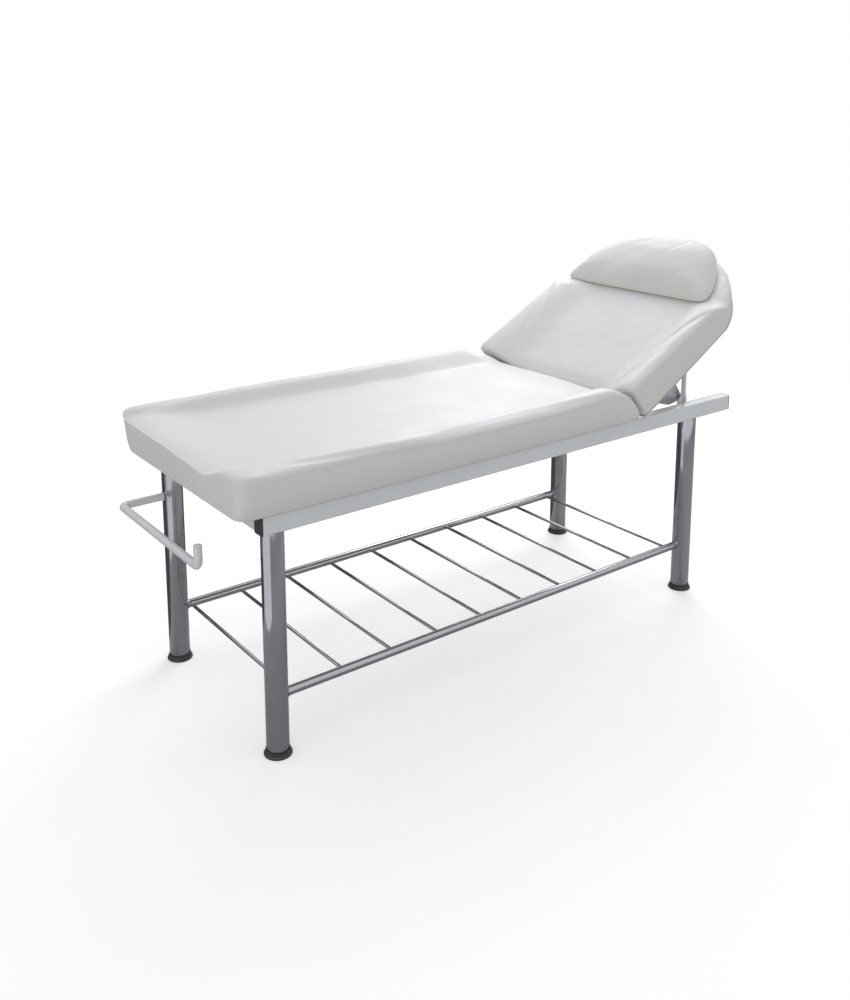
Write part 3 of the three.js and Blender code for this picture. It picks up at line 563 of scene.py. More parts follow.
def new_group(name: str, inputs: dict[str, str], outputs: dict[str, str]) -> NodeBench:
    """Starts a shader node group with named sockets.

    Args:
        name: The group's name.
        inputs: Socket types by name, such as NodeSocketFloat.
        outputs: Socket types by name.

    Returns:
        A bench for the group's tree, with its input and output nodes made.
    """
    tree = bpy.data.node_groups.new(name, "ShaderNodeTree")
    for socket, kind in inputs.items():
        tree.interface.new_socket(name=socket, in_out="INPUT", socket_type=kind)
    for socket, kind in outputs.items():
        tree.interface.new_socket(name=socket, in_out="OUTPUT", socket_type=kind)
    bench = NodeBench(tree)
    bench.source = tree.nodes.new("NodeGroupInput")
    bench.target = tree.nodes.new("NodeGroupOutput")
    return bench


def leather_grain_group() -> bpy.types.NodeTree:
    """Builds the leatherette grain: small pebbles with fine creases, and slow colour clouds.

    Returns:
        The group, with Height and Clouds outputs.
    """
    bench = new_group(
        "leatherette_grain",
        {"Vector": "NodeSocketVector", "Pebble Scale": "NodeSocketFloat", "Cloud Scale": "NodeSocketFloat"},
        {"Height": "NodeSocketFloat", "Clouds": "NodeSocketFloat"},
    )
    vector = bench.source.outputs["Vector"]
    warp = bench.node("ShaderNodeTexNoise", {"Vector": vector, "Scale": 60.0, "Detail": 2.0})
    push = bench.node("ShaderNodeVectorMath", {0: warp.outputs["Color"], "Scale": 0.006}, operation="SCALE")
    moved = bench.node("ShaderNodeVectorMath", {0: vector, 1: push.outputs[0]}, operation="ADD")
    pebbles = bench.node("ShaderNodeTexVoronoi", feature="SMOOTH_F1")
    bench.set(
        pebbles,
        {"Vector": moved.outputs[0], "Scale": bench.source.outputs["Pebble Scale"], "Smoothness": 0.5},
    )
    creases = bench.node("ShaderNodeTexVoronoi", feature="DISTANCE_TO_EDGE")
    half = bench.maths("MULTIPLY", bench.source.outputs["Pebble Scale"], 0.42)
    bench.set(creases, {"Vector": moved.outputs[0], "Scale": half})
    valley = bench.remap(creases.outputs["Distance"], 0.0, 0.12, 0.0, 1.0)
    dome = bench.remap(pebbles.outputs["Distance"], 0.0, 0.7, 1.0, 0.0)
    height = bench.maths("ADD", bench.maths("MULTIPLY", dome, 0.65), bench.maths("MULTIPLY", valley, 0.35))
    clouds = bench.node("ShaderNodeTexNoise")
    bench.set(
        clouds,
        {
            "Vector": vector,
            "Scale": bench.source.outputs["Cloud Scale"],
            "Detail": 4.0,
            "Roughness": 0.55,
        },
    )
    bench.set(bench.target, {"Height": height, "Clouds": clouds.outputs["Fac"]})
    return bench.tree


def handling_group() -> bpy.types.NodeTree:
    """Builds the marks of use on hard surfaces: smudges, fine scratches and a little dust.

    Returns:
        The group, with Smudge, Scratch and Dust outputs.
    """
    bench = new_group(
        "handling_marks",
        {"Vector": "NodeSocketVector", "Scale": "NodeSocketFloat"},
        {"Smudge": "NodeSocketFloat", "Scratch": "NodeSocketFloat", "Dust": "NodeSocketFloat"},
    )
    vector = bench.source.outputs["Vector"]
    scale = bench.source.outputs["Scale"]
    cloud = bench.node(
        "ShaderNodeTexNoise", {"Vector": vector, "Scale": scale, "Detail": 5.0, "Roughness": 0.62}
    )
    smudge = bench.remap(cloud.outputs["Fac"], 0.38, 0.68, 0.0, 1.0)
    stretch = bench.node("ShaderNodeMapping", {"Vector": vector, "Scale": (1.0, 1.0, 0.06)})
    lines = bench.node("ShaderNodeTexNoise")
    bench.set(
        lines,
        {"Vector": stretch.outputs[0], "Scale": bench.maths("MULTIPLY", scale, 60.0), "Detail": 2.0},
    )
    scratch = bench.remap(lines.outputs["Fac"], 0.62, 0.78, 0.0, 1.0)
    normal = bench.node("ShaderNodeNewGeometry")
    upward = bench.node("ShaderNodeSeparateXYZ", {0: normal.outputs["Normal"]})
    fine = bench.node(
        "ShaderNodeTexNoise", {"Vector": vector, "Scale": bench.maths("MULTIPLY", scale, 24.0), "Detail": 3.0}
    )
    lying = bench.remap(upward.outputs["Z"], 0.5, 1.0, 0.0, 1.0)
    dust = bench.maths("MULTIPLY", lying, bench.remap(fine.outputs["Fac"], 0.42, 0.7, 0.0, 1.0))
    bench.set(bench.target, {"Smudge": smudge, "Scratch": scratch, "Dust": dust})
    return bench.tree


# Finishes


def start_material(name: str) -> tuple[NodeBench, bpy.types.Node, bpy.types.NodeSocket]:
    """Starts a node material.

    Args:
        name: The material's name.

    Returns:
        A bench for its tree, its Principled BSDF and the Object coordinates.
    """
    material = bpy.data.materials.new(name)
    material.use_nodes = True
    bench = NodeBench(material.node_tree)
    bench.material = material
    shader = material.node_tree.nodes["Principled BSDF"]
    place = bench.node("ShaderNodeTexCoord")
    return bench, shader, place.outputs["Object"]


def use_group(bench: NodeBench, name: str, inputs: dict[str, object]) -> bpy.types.Node:
    """Places a shared group in a material with its own values."""
    made = bench.node("ShaderNodeGroup")
    made.node_tree = bpy.data.node_groups[name]
    return bench.set(made, inputs)


def bump(
    bench: NodeBench, height: bpy.types.NodeSocket, strength: float, distance: float
) -> bpy.types.NodeSocket:
    """Turns a height into a normal."""
    inputs = {"Strength": strength, "Distance": distance, "Height": height}
    return bench.node("ShaderNodeBump", inputs).outputs["Normal"]


@dataclass(frozen=True)
class VinylFinish:
    """Leatherette over foam, a little warmer on its upright sides than on top; this top and side colouring is
    painted shade, mixed by how far the surface faces up.
    """

    name: str
    # top and side are painted light and shade: the colours given to faces that look up and to upright faces.
    top: tuple[float, float, float] = (0.80, 0.80, 0.82)
    side: tuple[float, float, float] = (0.72, 0.715, 0.685)
    tint: tuple[float, float, float] = (0.775, 0.78, 0.785)
    pebble_scale: float = 620.0
    cloud_scale: float = 5.0
    roughness: tuple[float, float] = (0.42, 0.56)
    grain_depth: float = 0.00022

    def build(self) -> bpy.types.Material:
        """Makes the material."""
        bench, shader, place = start_material(self.name)
        grain = use_group(
            bench,
            "leatherette_grain",
            {"Vector": place, "Pebble Scale": self.pebble_scale, "Cloud Scale": self.cloud_scale},
        )
        clouds = bench.remap(grain.outputs["Clouds"], 0.35, 0.7, 0.0, 1.0)
        upper = bench.mix(clouds, (*self.top, 1), (*self.tint, 1))
        # Painted shade: the colour runs from the side colour on upright faces to the top colour on faces that
        # look up.
        facing = bench.node("ShaderNodeNewGeometry")
        split = bench.node("ShaderNodeSeparateXYZ", {0: facing.outputs["Normal"]})
        flat = bench.remap(split.outputs["Z"], 0.05, 0.75, 0.0, 1.0)
        colour = bench.mix(flat, (*self.side, 1), upper)
        valley = bench.remap(grain.outputs["Height"], 0.25, 0.7, 0.0, 1.0)
        darker = bench.mix(valley, (0.93, 0.925, 0.91, 1), (1, 1, 1, 1))
        product = bench.node(
            "ShaderNodeMix", {0: 1.0, 6: colour, 7: darker}, data_type="RGBA", blend_type="MULTIPLY"
        )
        rough = bench.remap(grain.outputs["Clouds"], 0.3, 0.75, *self.roughness)
        bench.set(
            shader,
            {
                "Base Color": product.outputs[2],
                "Roughness": rough,
                "Normal": bump(bench, grain.outputs["Height"], 0.55, self.grain_depth),
                "Specular IOR Level": 0.5,
                "Coat Weight": 0.08,
                "Coat Roughness": 0.32,
            },
        )
        return bench.material


@dataclass(frozen=True)
class ChromeFinish:
    """Polished chrome plate with faint smudges and fine lengthwise scratches."""

    name: str
    colour: tuple[float, float, float] = (0.44, 0.45, 0.47)
    smudged: tuple[float, float, float] = (0.37, 0.38, 0.40)
    roughness: tuple[float, float] = (0.07, 0.17)
    scale: float = 7.0

    def build(self) -> bpy.types.Material:
        """Makes the material."""
        bench, shader, place = start_material(self.name)
        marks = use_group(bench, "handling_marks", {"Vector": place, "Scale": self.scale})
        colour = bench.mix(
            bench.maths("MULTIPLY", marks.outputs["Smudge"], 0.6), (*self.colour, 1), (*self.smudged, 1)
        )
        dusty = bench.mix(bench.maths("MULTIPLY", marks.outputs["Dust"], 0.25), colour, (0.6, 0.6, 0.58, 1))
        rough = bench.remap(marks.outputs["Smudge"], 0.0, 1.0, *self.roughness)
        bench.set(
            shader,
            {
                "Base Color": dusty,
                "Metallic": 1.0,
                "Roughness": rough,
                "Normal": bump(bench, marks.outputs["Scratch"], 0.25, 0.00003),
            },
        )
        return bench.material


@dataclass(frozen=True)
class PaintFinish:
    """Powder coat with a fine orange peel."""

    name: str
    colour: tuple[float, float, float] = (0.70, 0.715, 0.73)
    worn: tuple[float, float, float] = (0.64, 0.65, 0.655)
    roughness: tuple[float, float] = (0.30, 0.42)
    scale: float = 9.0
    peel_scale: float = 420.0

    def build(self) -> bpy.types.Material:
        """Makes the material."""
        bench, shader, place = start_material(self.name)
        marks = use_group(bench, "handling_marks", {"Vector": place, "Scale": self.scale})
        colour = bench.mix(
            bench.maths("MULTIPLY", marks.outputs["Smudge"], 0.55), (*self.colour, 1), (*self.worn, 1)
        )
        dusty = bench.mix(bench.maths("MULTIPLY", marks.outputs["Dust"], 0.3), colour, (0.6, 0.585, 0.56, 1))
        peel = bench.noise(place, self.peel_scale, 2.0)
        rough = bench.remap(marks.outputs["Smudge"], 0.0, 1.0, *self.roughness)
        bench.set(
            shader,
            {
                "Base Color": dusty,
                "Roughness": rough,
                "Normal": bump(bench, peel, 0.3, 0.00012),
                "Coat Weight": 0.25,
                "Coat Roughness": 0.2,
            },
        )
        return bench.material


@dataclass(frozen=True)
class PlasticFinish:
    """Moulded black plastic or rubber with a fine spark-eroded texture."""

    name: str
    colour: tuple[float, float, float] = (0.028, 0.029, 0.031)
    dusty: tuple[float, float, float] = (0.075, 0.075, 0.073)
    roughness: tuple[float, float] = (0.42, 0.6)
    scale: float = 16.0
    texture_scale: float = 1500.0

    def build(self) -> bpy.types.Material:
        """Makes the material."""
        bench, shader, place = start_material(self.name)
        marks = use_group(bench, "handling_marks", {"Vector": place, "Scale": self.scale})
        worn = bench.maths("MULTIPLY", marks.outputs["Smudge"], 0.35)
        colour = bench.mix(worn, (*self.colour, 1), (*self.dusty, 1))
        dusty = bench.mix(bench.maths("MULTIPLY", marks.outputs["Dust"], 0.3), colour, (0.2, 0.195, 0.19, 1))
        texture = bench.noise(place, self.texture_scale, 2.0)
        bench.set(
            shader,
            {
                "Base Color": dusty,
                "Roughness": bench.remap(marks.outputs["Smudge"], 0.0, 1.0, *self.roughness),
                "Normal": bump(bench, texture, 0.35, 0.0001),
            },
        )
        return bench.material


@dataclass(frozen=True)
class ZincFinish:
    """Zinc-plated pressed steel, with a soft spangle."""

    name: str
    colour: tuple[float, float, float] = (0.62, 0.63, 0.64)
    dull: tuple[float, float, float] = (0.50, 0.51, 0.52)
    roughness: tuple[float, float] = (0.26, 0.44)
    spangle_scale: float = 120.0
    scale: float = 12.0

    def build(self) -> bpy.types.Material:
        """Makes the material."""
        bench, shader, place = start_material(self.name)
        marks = use_group(bench, "handling_marks", {"Vector": place, "Scale": self.scale})
        spangle = bench.node("ShaderNodeTexVoronoi", {"Vector": place, "Scale": self.spangle_scale})
        grey = bench.node("ShaderNodeRGBToBW", {0: spangle.outputs["Color"]})
        share = bench.remap(grey.outputs[0], 0.2, 0.8, 0.0, 1.0)
        colour = bench.mix(share, (*self.colour, 1), (*self.dull, 1))
        bench.set(
            shader,
            {
                "Base Color": colour,
                "Metallic": 1.0,
                "Roughness": bench.remap(marks.outputs["Smudge"], 0.0, 1.0, *self.roughness),
                "Normal": bump(bench, marks.outputs["Scratch"], 0.3, 0.00004),
            },
        )
        return bench.material


@dataclass(frozen=True)
class PlywoodFinish:
    """Birch plywood: pale grain on its faces and thin plies at its edges."""

    name: str
    pale: tuple[float, float, float] = (0.59, 0.52, 0.43)
    dark: tuple[float, float, float] = (0.46, 0.39, 0.31)
    ply: float = 0.0024

    def build(self) -> bpy.types.Material:
        """Makes the material."""
        bench, shader, place = start_material(self.name)
        stretch = bench.node("ShaderNodeMapping", {"Vector": place, "Scale": (1.0, 14.0, 14.0)})
        inputs = {"Vector": stretch.outputs[0], "Scale": 5.0, "Detail": 6.0, "Distortion": 0.7}
        rings = bench.node("ShaderNodeTexNoise", inputs)
        fibres = bench.node(
            "ShaderNodeTexNoise", {"Vector": stretch.outputs[0], "Scale": 60.0, "Detail": 3.0}
        )
        share = bench.maths(
            "ADD",
            bench.maths("MULTIPLY", bench.remap(rings.outputs["Fac"], 0.35, 0.65, 0.0, 1.0), 0.6),
            bench.maths("MULTIPLY", fibres.outputs["Fac"], 0.4),
        )
        face = bench.mix(share, (*self.pale, 1), (*self.dark, 1))
        split = bench.node("ShaderNodeSeparateXYZ", {0: place})
        plies = bench.maths("PINGPONG", split.outputs["Z"], self.ply)
        band = bench.remap(plies, 0.35 * self.ply, 0.6 * self.ply, 0.0, 1.0)
        edge = bench.mix(band, (*self.pale, 1), (*self.dark, 1))
        facing = bench.node("ShaderNodeNewGeometry")
        turn = bench.node("ShaderNodeSeparateXYZ", {0: facing.outputs["Normal"]})
        flat = bench.remap(bench.maths("ABSOLUTE", turn.outputs["Z"]), 0.5, 0.8, 0.0, 1.0)
        bench.set(
            shader,
            {
                "Base Color": bench.mix(flat, edge, face),
                "Roughness": bench.remap(fibres.outputs["Fac"], 0.3, 0.7, 0.55, 0.75),
                "Normal": bump(bench, fibres.outputs["Fac"], 0.3, 0.0002),
            },
        )
        return bench.material


@dataclass
class Finishes:
    """All finishes of the table, built once."""

    made: dict[Slot, bpy.types.Material] = field(default_factory=dict)
    extra: dict[str, bpy.types.Material] = field(default_factory=dict)
    # Each trim's top and side colours are painted shade, mixed by how far the surface faces up.
    trims: tuple[tuple, ...] = (
        ("welt", "folded_leatherette",
         (0.78, 0.775, 0.75), (0.72, 0.712, 0.67), (0.75, 0.745, 0.71), 620.0, 0.0001),
        ("piping", "piping_leatherette",
         (0.83, 0.83, 0.82), (0.82, 0.815, 0.79), (0.81, 0.81, 0.79), 620.0, 0.0001),
        ("cream", "cream_leatherette",
         (0.80, 0.785, 0.70), (0.76, 0.74, 0.63), (0.77, 0.75, 0.65), 620.0, 0.0001),
        ("thread", "sewing_thread",
         (0.80, 0.80, 0.78), (0.74, 0.735, 0.70), (0.76, 0.755, 0.73), 2400.0, 0.00008),
    )  # fmt: skip

    def build(self) -> None:
        """Makes the shared groups and the materials."""
        leather_grain_group()
        handling_group()
        self.made = {
            Slot.CHROME: ChromeFinish("chrome_plate").build(),
            Slot.PAINT: PaintFinish("white_powder_coat").build(),
            Slot.PLASTIC: PlasticFinish("black_moulded_plastic").build(),
            Slot.ZINC: ZincFinish("zinc_plated_steel").build(),
            Slot.VINYL: VinylFinish("white_leatherette").build(),
            # The pillow's top colour is painted darker than its side colour: painted shade against the strong
            # light on its top.
            Slot.PILLOW: VinylFinish(
                "pillow_leatherette",
                (0.66, 0.66, 0.655),
                (0.73, 0.72, 0.68),
                roughness=(0.58, 0.70),
                grain_depth=0.00018,
            ).build(),
            Slot.PLYWOOD: PlywoodFinish("birch_plywood").build(),
        }
        for name, label, top, side, tint, pebbles, grain in self.trims:
            finish = VinylFinish(label, top, side, tint, pebbles, grain_depth=grain)
            self.extra[name] = finish.build()

    def dress(self, piece: bpy.types.Object, slot: Slot) -> None:
        """Gives a piece the finish of a slot."""
        piece.data.materials.clear()
        piece.data.materials.append(self.made[slot])

    def dress_extra(self, piece: bpy.types.Object, name: str) -> None:
        """Gives a piece one of the finishes that stand beside the slots."""
        piece.data.materials.clear()
        piece.data.materials.append(self.extra[name])


FINISHES = Finishes()


def fit_out(
    piece: bpy.types.Object, body: Body, slot: Slot, replaces: tuple[str, ...] = (), angle: float = 35.0
) -> bpy.types.Object:
    """Shades, dresses and hangs a finished piece on its body.

    Args:
        piece: The finished mesh object.
        body: The body that it rides on.
        slot: Its material slot.
        replaces: The frame's nodes that it stands for.
        angle: The angle in degrees above which edges stay sharp.

    Returns:
        The piece.
    """
    smooth(piece, angle)
    FINISHES.dress(piece, slot)
    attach(piece, body.value)
    if replaces:
        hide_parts(*replaces)
    log.info("piece %s, %d faces", piece.name, len(piece.data.polygons))
    return piece


def node_centre(name: str) -> Vector:
    """The middle of a node's box."""
    low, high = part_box(name)
    return (low + high) / 2


def node_size(name: str) -> Vector:
    """The size of a node's box."""
    low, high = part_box(name)
    return high - low


# Legs and feet


@dataclass
class Legs:
    """Four chrome leg tubes, each in a flared black foot."""

    sides: int = 72
    wall: float = 0.002
    end_round: float = 0.0006
    flare: float = 0.0035
    lip: float = 0.0007

    def build(self) -> None:
        """Models each leg and foot in the place of its node."""
        for end, _ in ENDS:
            for side, _ in SIDES:
                self.leg(f"leg_{end}_{side}")
                self.foot(f"foot_pad_{end}_{side}", f"leg_{end}_{side}")

    def leg(self, node: str) -> None:
        """Models one leg tube."""
        low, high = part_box(node)
        centre = node_centre(node)
        radius = (high.x - low.x) / 2
        tube = rod(
            f"{node}_tube",
            Vector((centre.x, centre.y, low.z)),
            Vector((centre.x, centre.y, high.z)),
            radius,
            self.sides,
            self.end_round,
            self.wall,
        )
        fit_out(tube, Body.FRAME, Slot.CHROME, (node,))

    def foot(self, node: str, leg: str) -> None:
        """Models one foot: a sole, a flared skirt, a ribbed collar and a socket.

        Args:
            node: The foot's node.
            leg: The node of the leg in it.
        """
        low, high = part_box(node)
        centre = node_centre(node)
        flare = (high.x - low.x) / 2
        height = high.z
        socket = node_size(leg).x / 2 + self.lip * 0.4
        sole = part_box(leg)[0].z - self.lip * 0.4
        collar = socket + 2.2 * self.lip
        profile = [
            (0.0, 0.0012),
            (flare * 0.55, 0.0012),
            (flare * 0.6, 0.0),
            (flare - 2.2 * self.lip, 0.0),
            (flare - 0.6 * self.lip, 0.6 * self.lip),
            (flare, 1.8 * self.lip),
            (flare, self.flare),
            (flare - self.lip, self.flare + 1.2 * self.lip),
            (flare - 3.4 * self.lip, self.flare + 3.0 * self.lip),
            (flare - 6.0 * self.lip, self.flare + 6.2 * self.lip),
            (collar + 0.9 * self.lip, height - 5.6 * self.lip),
            (collar + 0.2 * self.lip, height - 3.6 * self.lip),
            (collar + 0.2 * self.lip, height - 2.6 * self.lip),
            (collar - 0.5 * self.lip, height - 2.3 * self.lip),
            (collar - 0.5 * self.lip, height - 1.9 * self.lip),
            (collar + 0.1 * self.lip, height - 1.6 * self.lip),
            (collar, height - 0.6 * self.lip),
            (collar - 0.6 * self.lip, height),
            (socket + 0.5 * self.lip, height),
            (socket, height - 0.5 * self.lip),
            (socket, sole),
            (0.0, sole),
        ]
        foot = turned(f"{node}_cup", profile, self.sides, Vector((centre.x, centre.y, low.z)))
        fit_out(foot, Body.FRAME, Slot.PLASTIC, (node,), 50.0)


# Shelf


@dataclass
class Shelf:
    """A tube between the legs on each side and rods welded between the tubes."""

    tube_sides: int = 40
    rod_sides: int = 28
    weld: float = 0.0016
    rod_count: int = 10

    def build(self) -> None:
        """Models the tubes and the rods in the places of their nodes."""
        for side, _ in SIDES:
            self.tube(f"shelf_tube_{side}")
        for index in range(1, self.rod_count + 1):
            self.shelf_rod(f"shelf_rod_{index}")

    def tube(self, node: str) -> None:
        """Models one long tube with a weld bead at each leg."""
        low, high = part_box(node)
        centre = node_centre(node)
        radius = (high.z - low.z) / 2
        leg_radius = node_size("leg_foot_left").x / 2
        start = Vector((low.x, centre.y, centre.z))
        end = Vector((high.x, centre.y, centre.z))
        reach = leg_radius - math.sqrt(leg_radius**2 - radius**2)
        parts = [rod(node, start, end, radius, self.tube_sides, 0.0005)]
        for point, direction in ((start, 1.0), (end, -1.0)):
            at = point + Vector((direction * (reach + self.weld * 0.4), 0, 0))
            parts.append(bead(node, at, Vector((1, 0, 0)), radius, self.weld, 40))
        tube = join(parts, f"{node}_pipe")
        fit_out(tube, Body.FRAME, Slot.CHROME, (node,))

    def shelf_rod(self, node: str) -> None:
        """Models one rod with a weld bead at each tube."""
        low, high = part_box(node)
        centre = node_centre(node)
        radius = (high.x - low.x) / 2
        tube_radius = node_size("shelf_tube_left").z / 2
        reach = tube_radius - math.sqrt(tube_radius**2 - radius**2)
        start = Vector((centre.x, low.y, centre.z))
        end = Vector((centre.x, high.y, centre.z))
        parts = [rod(node, start, end, radius, self.rod_sides, 0.0004)]
        for point, direction in ((start, 1.0), (end, -1.0)):
            at = point + Vector((0, direction * (reach + self.weld * 0.3), 0))
            parts.append(bead(node, at, Vector((0, 1, 0)), radius, self.weld * 0.75, 28))
        fit_out(join(parts, f"{node}_bar"), Body.FRAME, Slot.CHROME, (node,))


# Paper-roll holder


@dataclass
class RollHolder:
    """The bent tube for a paper roll, from the far foot leg round the foot end."""

    bend: float = 0.016
    sides: int = 36
    weld: float = 0.0018

    def build(self) -> None:
        """Models the bent tube with its weld and its end cap."""
        low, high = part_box("roll_holder")
        leg = node_centre("leg_foot_right")
        leg_radius = node_size("leg_foot_right").x / 2
        cap_low, cap_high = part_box("roll_holder_cap")
        radius = (cap_high.x - cap_low.x) / 2
        height = low.z + radius
        outer = low.x + radius
        free_y = low.y + radius
        start = Vector((leg.x - leg_radius, leg.y, height))
        route = [
            start,
            Vector((outer, leg.y, height)),
            Vector((outer, free_y, height)),
            Vector((outer, free_y, high.z)),
        ]
        tube = piped("roll_holder_tube", filleted(route, self.bend, 10), radius, self.sides)
        at = start + Vector((-self.weld, 0, 0))
        ring = bead("weld", at, Vector((1, 0, 0)), radius, self.weld, 36)
        tube = join([tube, ring], "roll_holder_tube")
        fit_out(tube, Body.FRAME, Slot.PAINT, ("roll_holder",))
        rise = cap_high.z - cap_low.z
        profile = [
            (0.0, 0.0),
            (radius * 0.97, 0.0),
            (radius, rise * 0.15),
            (radius, rise * 0.5),
            (radius * 0.93, rise * 0.82),
            (radius * 0.75, rise * 0.97),
            (radius * 0.4, rise),
            (0.0, rise),
        ]
        place = node_centre("roll_holder_cap")
        cap = turned("roll_holder_end", profile, self.sides, Vector((place.x, place.y, cap_low.z)))
        fit_out(cap, Body.FRAME, Slot.PAINT, ("roll_holder_cap",))


# Cushions


@dataclass
class CushionPlan:
    """The outline of a cushion from above, in its own flat frame."""

    foot_x: float
    head_x: float
    half_width: float
    foot_corner: float
    head_corner: float
    end_draw: float
    side_draw: float
    deepest: float
    corner_shrink: float
    foot_steps: int = 12
    head_steps: int = 12
    long_steps: int = 90
    wide_steps: int = 40
    draw_reach: float = 0.58
    near_slant: float = 0.0
    head_bulge: float = 0.0

    def loop(self, end_inset: float, side_inset: float) -> np.ndarray:
        """The outline at an inset, anticlockwise from above.

        Args:
            end_inset: How far the ends are drawn in.
            side_inset: How far the sides are drawn in.

        Returns:
            Rows of x and y.
        """
        shrink = 1 - self.corner_shrink * max(side_inset, 0.0) / self.deepest
        foot = self.foot_corner * shrink
        head = self.head_corner * shrink
        low = self.foot_x + end_inset
        high = self.head_x - end_inset
        side = self.half_width - side_inset
        rows: list[tuple[float, float]] = []

        def corner(x: float, y: float, radius: float, start: float, steps: int) -> None:
            for k in range(steps + 1):
                angle = start + math.pi / 2 * k / steps
                rows.append((x + radius * math.cos(angle), y + radius * math.sin(angle)))

        def bulge(first: float, last: float, steps: int) -> None:
            for k in range(steps + 1):
                angle = first + (last - first) * k / steps
                rows.append((middle + reach * math.cos(angle), reach * math.sin(angle)))

        long_shares = np.linspace(0, 1, self.long_steps + 2)[1:-1]
        wide_shares = np.linspace(0, 1, self.wide_steps + 2)[1:-1]
        corner(low + foot, foot - side, foot, math.pi, self.foot_steps)
        if self.head_bulge:
            middle = self.head_x - self.head_bulge
            reach = high - middle
            half = math.asin(min(1.0, side / reach))
            turn = middle + reach * math.cos(half)
            rows += [(low + foot + (turn - low - foot) * s, -side) for s in long_shares]
            bulge(-half, half, 2 * self.head_steps + self.wide_steps)
            rows += [(turn - (turn - low - foot) * s, side) for s in long_shares]
        else:
            rows += [(low + foot + (high - head - low - foot) * s, -side) for s in long_shares]
            corner(high - head, head - side, head, -math.pi / 2, self.head_steps)
            rows += [(high, (head - side) * (1 - s) + (side - head) * s) for s in wide_shares]
            corner(high - head, side - head, head, 0.0, self.head_steps)
            rows += [(high - head - (high - head - low - foot) * s, side) for s in long_shares]
        corner(low + foot, side - foot, foot, math.pi / 2, self.foot_steps)
        rows += [(low, (side - foot) * (1 - s) + (foot - side) * s) for s in wide_shares]
        points = np.array(rows)
        slant_end = self.foot_x + 0.6 * (self.head_x - self.foot_x)
        slant = self.near_slant * smoothstep(points[:, 0], self.foot_x, slant_end)
        points[:, 1] *= np.where(points[:, 1] < 0, 1 - slant, 1.0)
        return points


def rounded_drop(inset: float, radius: float, drop: np.ndarray | float) -> np.ndarray | float:
    """How far the top of a rounded edge has fallen at an inset from the side."""
    share = max(0.0, 1 - inset / radius)
    return drop * (1 - math.sqrt(1 - share * share))


